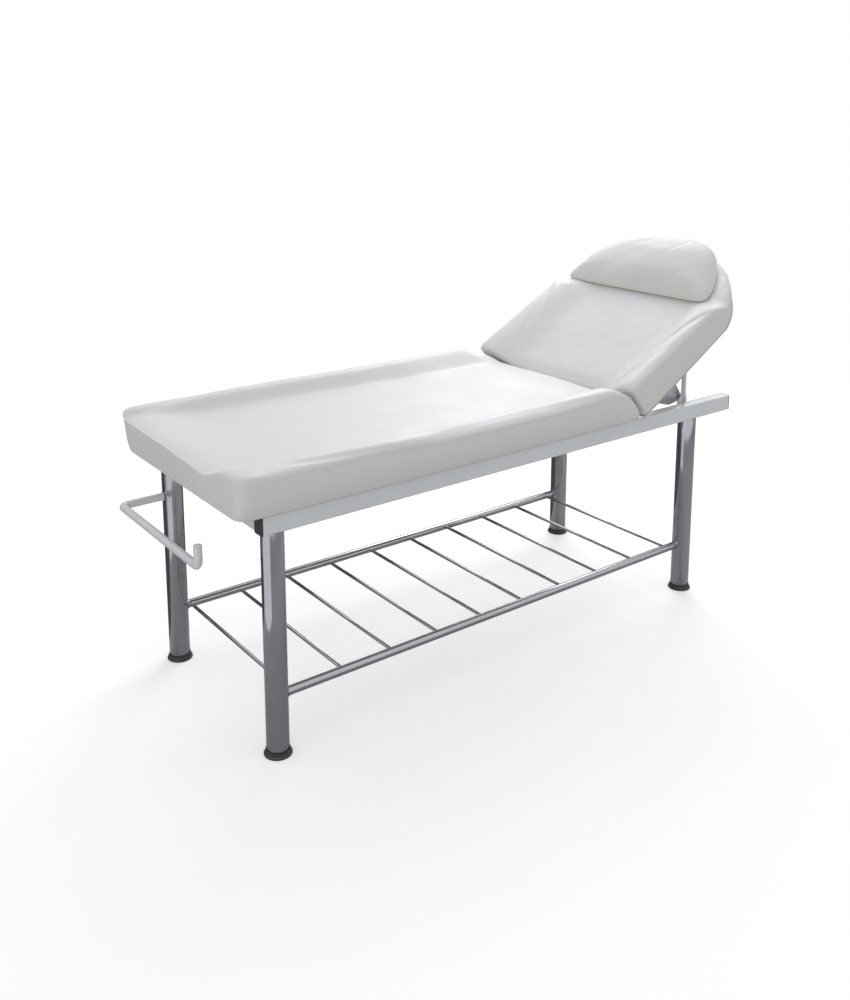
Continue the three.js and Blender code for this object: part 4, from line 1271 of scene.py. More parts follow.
@dataclass
class Cushion:
    """A stuffed cushion: its form in a flat frame, its place, and how it is stuffed."""

    name: str
    plan: CushionPlan
    bottom: float
    top_of: Callable[[np.ndarray], np.ndarray]
    drop_of: Callable[[np.ndarray, float], np.ndarray]
    place: Matrix
    seam_share: float
    voxel: float = 0.0075
    swell: float = 0.0035
    start_inset: float = 0.0015
    crease_height: float = 0.0006
    under: Callable[[np.ndarray], np.ndarray] | None = None
    side_loops: int = 19
    draw_power: float = 2.4
    end_draw_reach: float = 0.9
    rim_insets: tuple[float, float, float] = (0.0015, 0.032, 0.038)
    rim_loops: int = 14
    crown_shrinks: tuple[float, ...] = (0.85, 0.7, 0.55, 0.4, 0.25, 0.1)
    crown_squeeze: float = 0.35

    def form(self) -> bpy.types.Object:
        """Builds the closed form from a primitive circle that is moved loop by loop.

        Returns:
            The form in the flat frame.
        """
        loops: list[np.ndarray] = []
        for share in np.linspace(0, 1, self.side_loops):
            draw = max(0.0, 1 - share / self.plan.draw_reach) ** self.draw_power
            end_draw = self.plan.end_draw * max(0.0, 1 - share / self.end_draw_reach)
            flat = self.plan.loop(end_draw, self.plan.side_draw * draw)
            edge = self.top_of(flat) - self.drop_of(flat, 0.0)
            low = self.bottom + (self.under(flat) if self.under else 0.0)
            loops.append(np.column_stack([flat, low + (edge - low) * share]))
        first, last, deep = self.rim_insets
        rim = np.linspace(first, last, self.rim_loops)
        for inset in np.concatenate([rim, np.linspace(deep, self.plan.deepest, self.rim_loops)]):
            flat = self.plan.loop(inset, inset)
            loops.append(np.column_stack([flat, self.top_of(flat) - self.drop_of(flat, inset)]))
        inner = loops[-1][:, :2]
        middle = np.array([(inner[:, 0].min() + inner[:, 0].max()) / 2, 0.0])
        for shrink in self.crown_shrinks:
            flat = middle + (inner - middle) * np.array([1.0 - (1 - shrink) * self.crown_squeeze, shrink])
            loops.append(np.column_stack([flat, self.top_of(flat)]))
        count = len(loops[0])
        bpy.ops.mesh.primitive_circle_add(vertices=count, radius=self.plan.half_width, fill_type="NGON")
        piece = bpy.context.object
        piece.name = self.name
        with editing(piece) as mesh:
            bpy.ops.mesh.select_all(action="SELECT")
            for _ in loops[1:]:
                bpy.ops.mesh.extrude_region_move(TRANSFORM_OT_translate={"value": (0, 0, 0.01)})
            mesh = bmesh.from_edit_mesh(piece.data)
            mesh.verts.ensure_lookup_table()
            for k, loop in enumerate(loops):
                for i, point in enumerate(loop):
                    mesh.verts[k * count + i].co = point
            bmesh.update_edit_mesh(piece.data)
        mend_normals(piece)
        return piece

    def remesh(self, piece: bpy.types.Object) -> None:
        """Gives the form an even net of small faces and eases its facets."""
        take(piece)
        bpy.ops.object.modifier_add(type="REMESH")
        remesh = piece.modifiers[-1]
        remesh.mode = "VOXEL"
        remesh.voxel_size = self.voxel
        apply_modifiers(piece)
        bpy.ops.object.modifier_add(type="SMOOTH")
        piece.modifiers[-1].factor = 0.5
        piece.modifiers[-1].iterations = 2
        apply_modifiers(piece)

    def stuff(self, piece: bpy.types.Object) -> None:
        """Swells the cover by a short cloth simulation, held at its underside and its seam.

        Args:
            piece: The even form. It keeps the settled shape, with no simulation left on it.
        """
        rest = coordinates(piece)
        seam = self.seam_height(rest)
        held = np.maximum(
            1 - smoothstep(rest[:, 2] - self.bottom, 0.002, 0.014),
            1 - smoothstep(np.abs(rest[:, 2] - seam) + 0.6 * self.inward(rest), 0.004, 0.016),
        )
        group = piece.vertex_groups.new(name="held")
        for weight in np.unique(np.round(held, 1)):
            if weight > 0:
                members = np.nonzero(np.round(held, 1) == weight)[0]
                group.add([int(i) for i in members], float(weight), "REPLACE")
        take(piece)
        bpy.ops.object.modifier_add(type="CLOTH")
        cloth = piece.modifiers[-1]
        settings = cloth.settings
        for name, value in CLOTH_SETTINGS.items():
            setattr(settings, name, value)
        settings.vertex_group_mass = group.name
        settings.effector_weights.gravity = 0.0
        cloth.collision_settings.use_self_collision = False
        cloth.collision_settings.use_collision = False
        scene = bpy.context.scene
        for step in range(1, CLOTH_FRAMES + 1):
            scene.frame_set(step)
        settled = piece.evaluated_get(bpy.context.evaluated_depsgraph_get())
        moved = np.array([v.co for v in settled.data.vertices]) - rest
        scene.frame_set(1)
        bpy.ops.object.modifier_remove(modifier=cloth.name)
        piece.vertex_groups.clear()
        length = np.linalg.norm(moved, axis=1)[:, None]
        capped = self.swell * np.tanh(length / self.swell) / np.maximum(length, 1e-9)
        set_coordinates(piece, rest + moved * capped)

    def rim(self, share: float) -> list[tuple[tuple[float, float], Vector]]:
        """The line round the side at a share of its height, from the middle of the head end.

        Args:
            share: The share of the side's height.

        Returns:
            For each point its x and y in the plan, and its place in the row frame.
        """
        flat = self.plan.loop(0.0, 0.0)
        edge = self.top_of(flat) - self.drop_of(flat, 0.0)
        height = self.bottom + (edge - self.bottom) * share
        start = int(np.argmin(np.abs(flat[:, 1]) - 10.0 * flat[:, 0]))
        order = np.roll(np.arange(len(flat)), -start)
        return [
            ((float(flat[i, 0]), float(flat[i, 1])), self.place @ Vector((*flat[i], height[i])))
            for i in order
        ]

    def seam_height(self, points: np.ndarray) -> np.ndarray:
        """The height of the seam between the side and the top at each point's plan place."""
        flat = points[:, :2]
        edge = self.top_of(flat) - self.drop_of(flat, 0.0)
        return self.bottom + (edge - self.bottom) * self.seam_share

    def inward(self, points: np.ndarray) -> np.ndarray:
        """A rough distance from the cushion's side."""
        gap_y = self.plan.half_width - np.abs(points[:, 1])
        gap_x = np.minimum(points[:, 0] - self.plan.foot_x, self.plan.head_x - points[:, 0])
        return np.maximum(np.minimum(gap_x, gap_y), 0.0)

    def crease(self, piece: bpy.types.Object) -> None:
        """Adds slow waves to the cover and short puckers beside its seam."""
        points = coordinates(piece)
        normals = vertex_normals(piece)
        x, y, z = points.T
        waves = (
            np.sin(x * 31 + 2.1 * np.sin(y * 17 + 0.4))
            + np.sin(y * 43 + 1.7 * np.sin(x * 23 + 1.3))
            + 0.6 * np.sin((x + y) * 67 + 0.9)
        )
        beside = np.exp(-np.abs(z - self.seam_height(points)) / 0.010) * np.exp(-self.inward(points) / 0.02)
        along = x * math.cos(0.4) + y * 1.3
        puckers = np.sin(along * 330 + 2.0 * np.sin(along * 41)) * beside
        above = smoothstep(z - self.bottom, 0.004, 0.02)
        lift = (self.crease_height * waves / 2.6 + 0.0006 * puckers) * above
        set_coordinates(piece, points + normals * lift[:, None])

    def build(self) -> bpy.types.Object:
        """Makes the stuffed cushion in its place.

        Returns:
            The finished cushion, before it is dressed.
        """
        piece = self.form()
        self.remesh(piece)
        points = coordinates(piece) - vertex_normals(piece) * self.start_inset
        points[:, 2] = np.maximum(points[:, 2], self.bottom)
        set_coordinates(piece, points)
        self.stuff(piece)
        take(piece)
        bpy.ops.object.modifier_add(type="SUBSURF")
        piece.modifiers[-1].levels = 1
        piece.modifiers[-1].render_levels = 1
        apply_modifiers(piece)
        self.crease(piece)
        piece.data.transform(self.place)
        piece.data.update()
        piece.name = self.name
        return piece


def bolster_share(
    y: np.ndarray, inner: np.ndarray | float, ridge: np.ndarray | float, crisp: float = 0.55
) -> np.ndarray:
    """The share of a raised edge's height at a distance from the centre line.

    Args:
        y: The distances, of either sign.
        inner: Where the edge starts to rise.
        ridge: Where it is at its full height.
        crisp: How sharply it starts, from 0 to 1.

    Returns:
        Shares from 0 to 1.
    """
    share = np.clip((np.abs(y) - inner) / (ridge - inner), 0.0, 1.0)
    eased = share * share * (3 - 2 * share)
    return eased + crisp * (np.sin(share * math.pi / 2) - eased)


@dataclass
class Sizes:
    """The lengths that the cushions share, in the table's own frame."""

    cushion_bottom: float = 0.5953
    half_width: float = 0.334
    dish_rise: float = 0.0782
    bolster_rise: float = 0.028
    hinge_x: float = 0.449
    hinge_height: float = 0.5905
    tilt: float = math.radians(31.0)
    leg_x: float = 0.708

    def shift(self) -> float:
        """How far the row frame lies from the table's own frame along X."""
        return node_centre("leg_foot_left").x + self.leg_x

    def base_place(self) -> Matrix:
        """The place of the base section."""
        return Matrix.Translation((self.shift(), 0, 0))

    def head_place(self) -> Matrix:
        """The place of the tilted head section, from its hinge line."""
        turn = Matrix.Rotation(-self.tilt, 4, "Y")
        return Matrix.Translation((self.hinge_x + self.shift(), 0, self.hinge_height)) @ turn


SIZES = Sizes()


@dataclass
class SeamMaker:
    """Lays piping, seams and stitches on a finished cushion."""

    cushion: bpy.types.Object
    body: Body
    tree: BVHTree = field(init=False)

    def __post_init__(self) -> None:
        """Reads the cushion's surface."""
        points = [v.co.copy() for v in self.cushion.data.vertices]
        faces = [tuple(p.vertices) for p in self.cushion.data.polygons]
        self.tree = BVHTree.FromPolygons(points, faces)

    def snapped(self, points: list[Vector], lift: float, closed: bool, fade: int = 0) -> list[Vector]:
        """Moves points to the surface and a little off it.

        Args:
            points: Points near the surface.
            lift: How far off the surface they end, or in it when negative.
            closed: Whether the line joins its own start.
            fade: How many points at each end sink gradually into the surface.

        Returns:
            The moved points, eased along the line.
        """
        found = []
        last = len(points) - 1
        for i, point in enumerate(points):
            place, normal, _, _ = self.tree.find_nearest(point)
            near_end = min(i, last - i)
            sink = 0.0 if closed or near_end >= fade else 0.003 * (1 - near_end / fade)
            found.append(place + normal * (lift - sink))
        for _ in range(2):
            if closed:
                ring = [found[-1]] + found + [found[0]]
                found = [(a + b * 2 + c) / 4 for a, b, c in zip(ring, ring[1:], ring[2:])]
            else:
                inner = [(a + b * 2 + c) / 4 for a, b, c in zip(found, found[1:], found[2:])]
                found = [found[0]] + inner + [found[-1]]
        return found

    def welt(
        self,
        name: str,
        points: list[Vector],
        radius: float,
        lift: float,
        closed: bool = False,
        fade: int = 0,
        finish: str = "welt",
    ) -> None:
        """Lays a round cord of folded leatherette along a line.

        Args:
            name: The cord's name.
            points: The line, near the surface.
            radius: The cord's radius.
            lift: How far its centre stands off the surface.
            closed: Whether the line joins its own start.
            fade: How many points at each end sink into the surface.
            finish: The name of its finish.
        """
        cord = piped(name, self.snapped(points, lift, closed, fade), radius, 10, closed)
        fit_out(cord, self.body, Slot.VINYL, (), 60.0)
        FINISHES.dress_extra(cord, finish)

    def stitches(self, name: str, points: list[Vector], pitch: float, length: float, thick: float) -> None:
        """Sews a row of short stitches along a line.

        Args:
            name: The row's name.
            points: The line, near the surface.
            pitch: The distance from one stitch to the next.
            length: The length of a stitch.
            thick: The thread's radius.
        """
        bpy.ops.mesh.primitive_uv_sphere_add(segments=6, ring_count=4, radius=1.0)
        seed = bpy.context.object
        with editing(seed):
            bpy.ops.mesh.select_all(action="SELECT")
            bpy.ops.transform.resize(value=(length / 2, thick, thick))
        shape = coordinates(seed)
        faces = [tuple(p.vertices) for p in seed.data.polygons]
        bpy.data.objects.remove(seed)
        vertices: list[tuple[float, float, float]] = []
        polygons: list[tuple[int, ...]] = []
        travelled, due = 0.0, pitch / 2
        for first, second in zip(points, points[1:]):
            step = (second - first).length
            while due < travelled + step:
                at = first.lerp(second, (due - travelled) / step)
                place, normal, _, _ = self.tree.find_nearest(at)
                along = (second - first).normalized()
                across = normal.cross(along).normalized()
                base = len(vertices)
                for px, py, pz in shape:
                    spot = place + along * px + across * py + normal * (pz + thick * 0.25)
                    vertices.append(tuple(spot))
                polygons.extend(tuple(base + i for i in face) for face in faces)
                due += pitch
            travelled += step
        mesh = bpy.data.meshes.new(name)
        mesh.from_pydata(vertices, [], polygons)
        piece = bpy.data.objects.new(name, mesh)
        bpy.context.scene.collection.objects.link(piece)
        mend_normals(piece)
        fit_out(piece, self.body, Slot.VINYL, (), 60.0)
        FINISHES.dress_extra(piece, "thread")

    def staples(self, name: str, points: list[Vector], pitch: float, length: float, thick: float) -> None:
        """Sets a row of staples along a line, in the manner of the stitches.

        Args:
            name: The row's name.
            points: The line, near the surface.
            pitch: The distance from one staple to the next.
            length: The length of a staple.
            thick: The radius of its wire.
        """
        self.stitches(name, points, pitch, length, thick)
        row = bpy.data.objects[name]
        FINISHES.dress(row, Slot.ZINC)


@dataclass
class BaseSection:
    """The long cushion with a raised edge on each side and a rounded head end."""

    foot_x: float = -0.819
    head_x: float = 0.431
    nose_rise: float = 0.037
    inner_edge: float = 0.226
    foot_inner_edge: float = 0.258
    flare_start: float = 0.050
    near_ridge: float = 0.302
    far_ridge: float = 0.312
    nose_length: float = 0.130
    foot_taper: float = 0.045
    near_taper_share: float = 0.92
    far_taper_share: float = 0.18
    gather_reach: float = 0.12
    gather_inner: float = 0.096
    gather_ridge: float = 0.027
    foot_ramp: float = 0.019
    ramp_start: float = 0.02
    ramp_reach: float = 0.20
    ramp_from: float = 0.166
    ramp_width: float = 0.5
    edge_round: float = 0.028
    edge_drop: float = 0.017
    crown: float = 0.003
    piping_reach: float = 0.075
    far_inner: tuple[tuple[float, float], ...] = (
        (-0.811, 0.292), (-0.772, 0.289), (-0.613, 0.266), (-0.436, 0.255),
        (-0.247, 0.245), (-0.117, 0.232), (0.073, 0.222), (0.366, 0.224),
    )  # fmt: skip
    far_rise: tuple[tuple[float, float], ...] = (
        (-0.811, 0.060), (-0.407, 0.060), (-0.137, 0.057), (0.139, 0.043), (0.366, 0.037),
    )  # fmt: skip
    near_rise: tuple[tuple[float, float], ...] = (
        (-0.745, 0.038), (-0.425, 0.036), (-0.265, 0.028), (0.117, 0.028), (0.303, 0.037),
    )  # fmt: skip

    def edges(self, x: np.ndarray, y: np.ndarray) -> tuple[np.ndarray, np.ndarray]:
        """Where the raised edge starts and peaks at rows of x and y."""
        near = self.foot_inner_edge + (self.inner_edge - self.foot_inner_edge) * smoothstep(
            x, self.foot_x, self.flare_start
        )
        gather = 1 - smoothstep(x - self.foot_x, 0.0, self.gather_reach)
        inner = np.where(y < 0, near - self.gather_inner * gather, np.interp(x, *zip(*self.far_inner)))
        ridge = np.where(y < 0, self.near_ridge - self.gather_ridge * gather, self.far_ridge)
        return inner, ridge

    def top(self, flat: np.ndarray) -> np.ndarray:
        """The height of the top at rows of x and y."""
        x, y = flat[:, 0], flat[:, 1]
        s = SIZES
        inner, ridge = self.edges(x, y)
        along = smoothstep(x - self.foot_x, 0, self.foot_taper)
        least = np.where(y < 0, self.near_taper_share, self.far_taper_share)
        taper = least + (1 - least) * along
        rise = np.where(y < 0, np.interp(x, *zip(*self.near_rise)), np.interp(x, *zip(*self.far_rise)))
        raised = rise * bolster_share(y, inner, ridge, 0.7) * taper
        tilt = np.clip((y + self.ramp_from) / self.ramp_width, 0, 1)
        ramp = self.foot_ramp * tilt * (1 - smoothstep(x - self.foot_x, self.ramp_start, self.ramp_reach))
        share = np.clip((x - self.head_x + self.nose_length) / self.nose_length, 0.0, 1.0)
        nose = s.cushion_bottom + (s.dish_rise + self.nose_rise) * np.sqrt(np.maximum(0, 1 - share * share))
        crown = self.crown * (1 - smoothstep(np.abs(y), 0, 0.2))
        top = np.minimum(s.cushion_bottom + s.dish_rise + raised + ramp + crown, nose)
        return np.maximum(top, s.cushion_bottom + s.dish_rise * 0.16)

    def drop(self, flat: np.ndarray, inset: float) -> np.ndarray:
        """How far the rounded edge falls at an inset."""
        x, y = flat[:, 0], flat[:, 1]
        inner, ridge = self.edges(x, y)
        share = bolster_share(y, inner, ridge)
        nose = smoothstep(self.head_x - x, 0, self.nose_length)
        foot = 1 - smoothstep(x - self.foot_x, 0.01, 0.09)
        drop = self.edge_drop * (0.3 + 0.7 * share) * (1 - 0.6 * foot)
        return rounded_drop(inset, self.edge_round, drop) * nose

    def plan(self) -> CushionPlan:
        """The outline of the cushion."""
        return CushionPlan(self.foot_x, self.head_x, SIZES.half_width, 0.036, 0.008, 0.008, 0.025, 0.128, 0.6)

    def build(self) -> None:
        """Makes the cushion with its piping and seams."""
        cushion = Cushion(
            "base_cushion_cover",
            self.plan(),
            SIZES.cushion_bottom,
            self.top,
            self.drop,
            SIZES.base_place(),
            0.97,
        )
        piece = cushion.build()
        fit_out(piece, Body.FRAME, Slot.VINYL, ("base_cushion",), 60.0)
        self.sew(cushion, piece)

    def sew(self, cushion: "Cushion", piece: bpy.types.Object) -> None:
        """Lays the piping of the foot edge and the seams of the sides.

        Args:
            cushion: The cushion's plan and heights.
            piece: Its finished cover.
        """
        maker = SeamMaker(piece, Body.FRAME)
        rim = cushion.rim(0.975)
        reach = self.foot_x + self.piping_reach
        flank = SIZES.half_width - 0.012
        nose_start = self.head_x - 0.11

        def part(keep: Callable[[float, float], bool]) -> list[Vector]:
            return [point for (x, y), point in rim if keep(x, y)]

        piping = part(lambda x, y: (y > 0 and x < reach) or (x < self.foot_x + 0.001 and y > -0.185))
        maker.welt("base_foot_piping", piping, 0.0026, 0.0012, fade=9, finish="piping")
        for side, sign in SIDES:
            seam = part(lambda x, y: y * sign > flank and reach - 0.02 < x < nose_start + 0.01)
            maker.welt(f"base_seam_{side}", seam, 0.0013, 0.0001, fade=6)
            nose = part(lambda x, y: y * sign > flank and x > nose_start)
            maker.welt(f"base_nose_seam_{side}", nose, 0.0016, 0.0005, fade=3, finish="cream")
            low = [
                point
                for (x, y), point in cushion.rim(0.875)
                if y * sign > flank and self.foot_x + 0.05 < x < self.head_x - 0.06
            ]
            maker.stitches(f"base_stitches_{side}", low, 0.0062, 0.0044, 0.00042)


@dataclass
class HeadSection:
    """The tilting cushion whose raised edges fade out towards a rounded head end."""

    start: float = 0.005
    end: float = 0.684
    bulge: float = 0.347
    end_draw: float = 0.014
    hinge_rise: float = 0.046
    bolster_inner: float = 0.214
    far_inner: float = 0.165
    ridge: float = 0.304
    fade_start: float = 0.385
    fade_end: float = 0.470
    edge_round: float = 0.020
    edge_drop: float = 0.012

    def bottom(self) -> float:
        """The underside's height above the hinge line."""
        return SIZES.cushion_bottom - SIZES.hinge_height

    def raised(self, flat: np.ndarray) -> np.ndarray:
        """How far the raised edges stand above the hollow at rows of x and y."""
        x, y = flat[:, 0], flat[:, 1]
        fade = 1 - smoothstep(x, self.fade_start, self.fade_end)
        along = np.clip(x / self.fade_start, 0.0, 1.0)
        rise = self.hinge_rise + (SIZES.bolster_rise - self.hinge_rise) * along
        near = bolster_share(y, self.bolster_inner, self.ridge, 0.65)
        return rise * np.where(y < 0, near, bolster_share(y, self.far_inner, self.ridge, 0.3)) * fade

    def top(self, flat: np.ndarray) -> np.ndarray:
        """The height of the top at rows of x and y, above the hinge line."""
        return self.bottom() + SIZES.dish_rise + self.raised(flat)

    def drop(self, flat: np.ndarray, inset: float) -> np.ndarray:
        """How far the rounded edge falls at an inset."""
        return rounded_drop(inset, self.edge_round, self.edge_drop) * np.ones(len(flat))

    def plan(self) -> CushionPlan:
        """The outline of the cushion."""
        return CushionPlan(
            self.start,
            self.end,
            SIZES.half_width,
            0.008,
            0.0,
            self.end_draw,
            0.014,
            0.128,
            0.45,
            head_steps=56,
            long_steps=46,
            wide_steps=16,
            draw_reach=0.35,
            head_bulge=self.bulge,
        )

    def build(self) -> None:
        """Makes the cushion with its seams."""
        cushion = Cushion(
            "back_cushion_cover",
            self.plan(),
            self.bottom(),
            self.top,
            self.drop,
            SIZES.head_place(),
            0.97,
        )
        piece = cushion.build()
        fit_out(piece, Body.HEAD, Slot.VINYL, ("back_cushion",), 60.0)
        maker = SeamMaker(piece, Body.HEAD)
        maker.welt("back_seam", [point for _, point in cushion.rim(0.965)], 0.0015, 0.0003, closed=True)
        low = [point for (x, _), point in cushion.rim(0.84) if x > self.start + 0.02]
        maker.stitches("back_stitches", low, 0.0062, 0.0044, 0.00042)


@dataclass
class Pillow:
    """The loose head pillow, a half-moon with a welt round it."""

    start: float = 0.424
    end: float = 0.702
    half_width: float = 0.288
    shift: float = 0.022
    thickness: float = 0.054
    seam: float = 0.014
    foot_corner: float = 0.024
    head_corner: float = 0.244
    tuck: float = 0.012
    deepest: float = 0.096
    crown_x: float = 0.575
    crown_reach: float = 0.15
    crown_fall: float = 0.007
    welt_radius: float = 0.0022
    welt_lift: float = 0.0010

    def bottom(self) -> float:
        """The underside's height above the hinge line."""
        return SIZES.cushion_bottom - SIZES.hinge_height + SIZES.dish_rise + 0.0005

    def top(self, flat: np.ndarray) -> np.ndarray:
        """The height of the crown, which falls slowly towards the rim."""
        across = (flat[:, 1] / self.half_width) ** 2
        along = ((flat[:, 0] - self.crown_x) / self.crown_reach) ** 2
        return self.bottom() + self.thickness - self.crown_fall * np.minimum(across + along, 2.0)

    def drop(self, flat: np.ndarray, inset: float) -> np.ndarray:
        """How far the rounded edge falls at an inset."""
        return rounded_drop(inset, self.deepest, self.top(flat) - self.bottom() - self.seam)

    def under(self, flat: np.ndarray) -> np.ndarray:
        """How far the underside is pressed up by the raised edges that it lies on."""
        moved = flat + np.array([0.0, self.shift])
        return np.minimum(HeadSection().raised(moved) * 0.9, self.seam * 0.7)

    def build(self) -> None:
        """Makes the pillow with its welt."""
        plan = CushionPlan(
            self.start,
            self.end,
            self.half_width,
            self.foot_corner,
            self.head_corner,
            self.tuck,
            self.tuck,
            self.deepest,
            0.5,
            head_steps=36,
            long_steps=8,
            wide_steps=70,
            near_slant=0.10,
        )
        cushion = Cushion(
            "pillow_cover",
            plan,
            self.bottom(),
            self.top,
            self.drop,
            SIZES.head_place() @ Matrix.Translation((0, self.shift, 0)),
            0.94,
            voxel=0.0055,
            swell=0.005,
            crease_height=0.0008,
            under=self.under,
        )
        piece = cushion.build()
        fit_out(piece, Body.PILLOW, Slot.PILLOW, ("pillow",), 60.0)
        line = [point for _, point in cushion.rim(cushion.seam_share)]
        maker = SeamMaker(piece, Body.PILLOW)
        maker.welt("pillow_welt", line, self.welt_radius, self.welt_lift, closed=True, finish="cream")


# Rails


@dataclass
class Rails:
    """The white rectangular tubes of the frame, their end plugs and the welds between them."""

    wall: float = 0.002
    corner: float = 0.004
    weld: float = 0.0015
    plug_radius: float = 0.0125
    plug_rise: float = 0.0003

    def build(self) -> None:
        """Models the side rails, their end plugs and the cross rails."""
        for side, _ in SIDES:
            node = f"side_rail_{side}"
            low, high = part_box(node)
            tube = square_tube(f"{node}_tube", low, high, 0, self.corner, self.wall)
            fit_out(tube, Body.FRAME, Slot.PAINT, (node,))
            self.hole_plug(f"rail_plug_{side}", node_centre(f"leg_head_{side}").x, node)
            for end, sign in ENDS:
                self.cap(f"rail_cap_{end}_{side}", sign, low.x if sign < 0 else high.x)
        for node in ("foot_cross_rail", "middle_cross_rail", "hinge_cross_rail"):
            self.cross(node)

    def hole_plug(self, name: str, x: float, rail: str) -> None:
        """Models the low domed plug in the hole above a leg bolt.

        Args:
            name: The plug's name.
            x: Where it sits along the rail.
            rail: The node of the rail.
        """
        low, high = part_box(rail)
        r, h = self.plug_radius, self.plug_rise
        profile = [(0.0, 0.0), (r, 0.0), (r, h * 0.3), (r * 0.9, h * 0.7), (r * 0.6, h * 0.95), (0.0, h)]
        plug = turned(name, profile, 40, Vector((x, (low.y + high.y) / 2, high.z - 0.0001)))
        fit_out(plug, Body.FRAME, Slot.PAINT)

    def cap(self, node: str, sign: float, rail_end: float) -> None:
        """Models one end plug: a rounded flange with a sunk face, and the part inside the tube.

        Args:
            node: The plug's node.
            sign: -1 at the foot end and 1 at the head end.
            rail_end: Where the tube ends.
        """
        low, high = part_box(node)
        inner, outer = rail_end + sign * 0.0002, (high.x if sign > 0 else low.x)
        ease = 0.0008
        flange = block(
            node,
            Vector((min(inner, outer - sign * ease), low.y, low.z)),
            Vector((max(inner, outer - sign * ease), high.y, high.z)),
            0,
            self.corner,
            6,
        )
        with editing(flange, "FACE") as mesh:
            for face in mesh.faces:
                face.select_set(face.normal.x * sign > 0.9)
            for thickness, push in ((0.0010, ease), (0.0020, 0.0), (0.0004, -0.0006)):
                bpy.ops.mesh.inset(thickness=thickness, depth=0.0)
                bpy.ops.transform.translate(value=(sign * push, 0, 0))
        gap = self.wall + 0.0003
        far = low.x if sign > 0 else high.x
        shank = block(
            "shank",
            Vector((min(inner, far), low.y + gap, low.z + gap)),
            Vector((max(inner, far), high.y - gap, high.z - gap)),
            0,
            self.corner - self.wall,
            3,
        )
        fit_out(join([flange, shank], f"{node}_plug"), Body.FRAME, Slot.PLASTIC, (node,), 30.0)

    def cross(self, node: str) -> None:
        """Models one cross rail with a weld on three sides at each end."""
        low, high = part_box(node)
        parts = [square_tube(node, low, high, 1, self.corner, self.wall)]
        w = self.weld
        for y, sign in ((low.y, -1.0), (high.y, 1.0)):
            at = y - sign * w * 0.7
            route = [
                Vector((low.x, at, high.z - 2 * w)),
                Vector((low.x, at, low.z)),
                Vector((high.x, at, low.z)),
                Vector((high.x, at, high.z - 2 * w)),
            ]
            parts.append(piped("weld", filleted(route, self.corner, 6), w, 8))
        fit_out(join(parts, f"{node}_tube"), Body.FRAME, Slot.PAINT, (node,))


# Boards


@dataclass
class Boards:
    """The plywood boards in the undersides of both cushions."""

    margin: float = 0.028
    base_margin: float = 0.046
    thickness: float = 0.012
    edge: float = 0.0015
    hem: float = 0.030
    hem_thickness: float = 0.0006
    hem_inset: float = 0.014
    sink: float = 0.0003

    def build(self) -> None:
        """Models both boards, and the stapled hem of the tilting cushion's cover."""
        plan, low = BaseSection().plan(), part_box("base_board")[0].z
        self.board("base_board", plan, self.base_margin, low, SIZES.base_place(), Body.FRAME)
        plan, low = HeadSection().plan(), SIZES.cushion_bottom - SIZES.hinge_height - self.sink
        self.board("back_board", plan, self.margin, low, SIZES.head_place(), Body.HEAD)
        self.hem_band(plan, low)

    def board(
        self, node: str, plan: CushionPlan, margin: float, low: float, place: Matrix, body: Body
    ) -> None:
        """Models one board to the outline of its cushion.

        Args:
            node: The node that it stands for.
            plan: The outline of the cushion.
            margin: How far the board's edge lies inside it.
            low: The height of its underside in the cushion's flat frame.
            place: The place of that frame.
            body: The body that it rides on.
        """
        outline = [tuple(point) for point in plan.loop(margin, margin)[::3]]
        board = slab(f"{node}_panel", outline, low, self.thickness, self.edge, False)
        board.data.transform(place)
        fit_out(board, body, Slot.PLYWOOD, (node,), 30.0)

    def hem_band(self, plan: CushionPlan, low: float) -> None:
        """Folds the edge of the cover over the board's rim and staples it.

        Args:
            plan: The outline of the cushion.
            low: The height of the board's underside.
        """
        outer = plan.loop(self.hem_inset, self.hem_inset)[::2]
        inner = plan.loop(self.margin + self.hem, self.margin + self.hem)[::2]
        bpy.ops.mesh.primitive_circle_add(vertices=len(outer), radius=1.0)
        band = bpy.context.object
        with editing(band) as mesh:
            bpy.ops.mesh.select_all(action="SELECT")
            bpy.ops.mesh.extrude_region_move(TRANSFORM_OT_translate={"value": (0, 0, 0.01)})
            mesh = bmesh.from_edit_mesh(band.data)
            mesh.verts.ensure_lookup_table()
            for k, point in enumerate(outer):
                wave = 0.0015 * math.sin(k * 0.9)
                mesh.verts[k].co = (*point, low + 0.0005)
                mesh.verts[len(outer) + k].co = (inner[k][0], inner[k][1] + wave, low)
            bmesh.update_edit_mesh(band.data)
        mend_normals(band)
        take(band)
        bpy.ops.object.modifier_add(type="SOLIDIFY")
        band.modifiers[-1].thickness = self.hem_thickness
        band.modifiers[-1].offset = 0.0
        apply_modifiers(band)
        band.data.transform(SIZES.head_place())
        band.name = "back_cover_hem"
        fit_out(band, Body.HEAD, Slot.VINYL, (), 50.0)
        line = plan.loop(self.margin + 0.6 * self.hem, self.margin + 0.6 * self.hem)
        points = [SIZES.head_place() @ Vector((*point, low - 0.001)) for point in line]
        SeamMaker(band, Body.HEAD).staples("back_staples", points, 0.036, 0.011, 0.0003)


# Prop of the head section


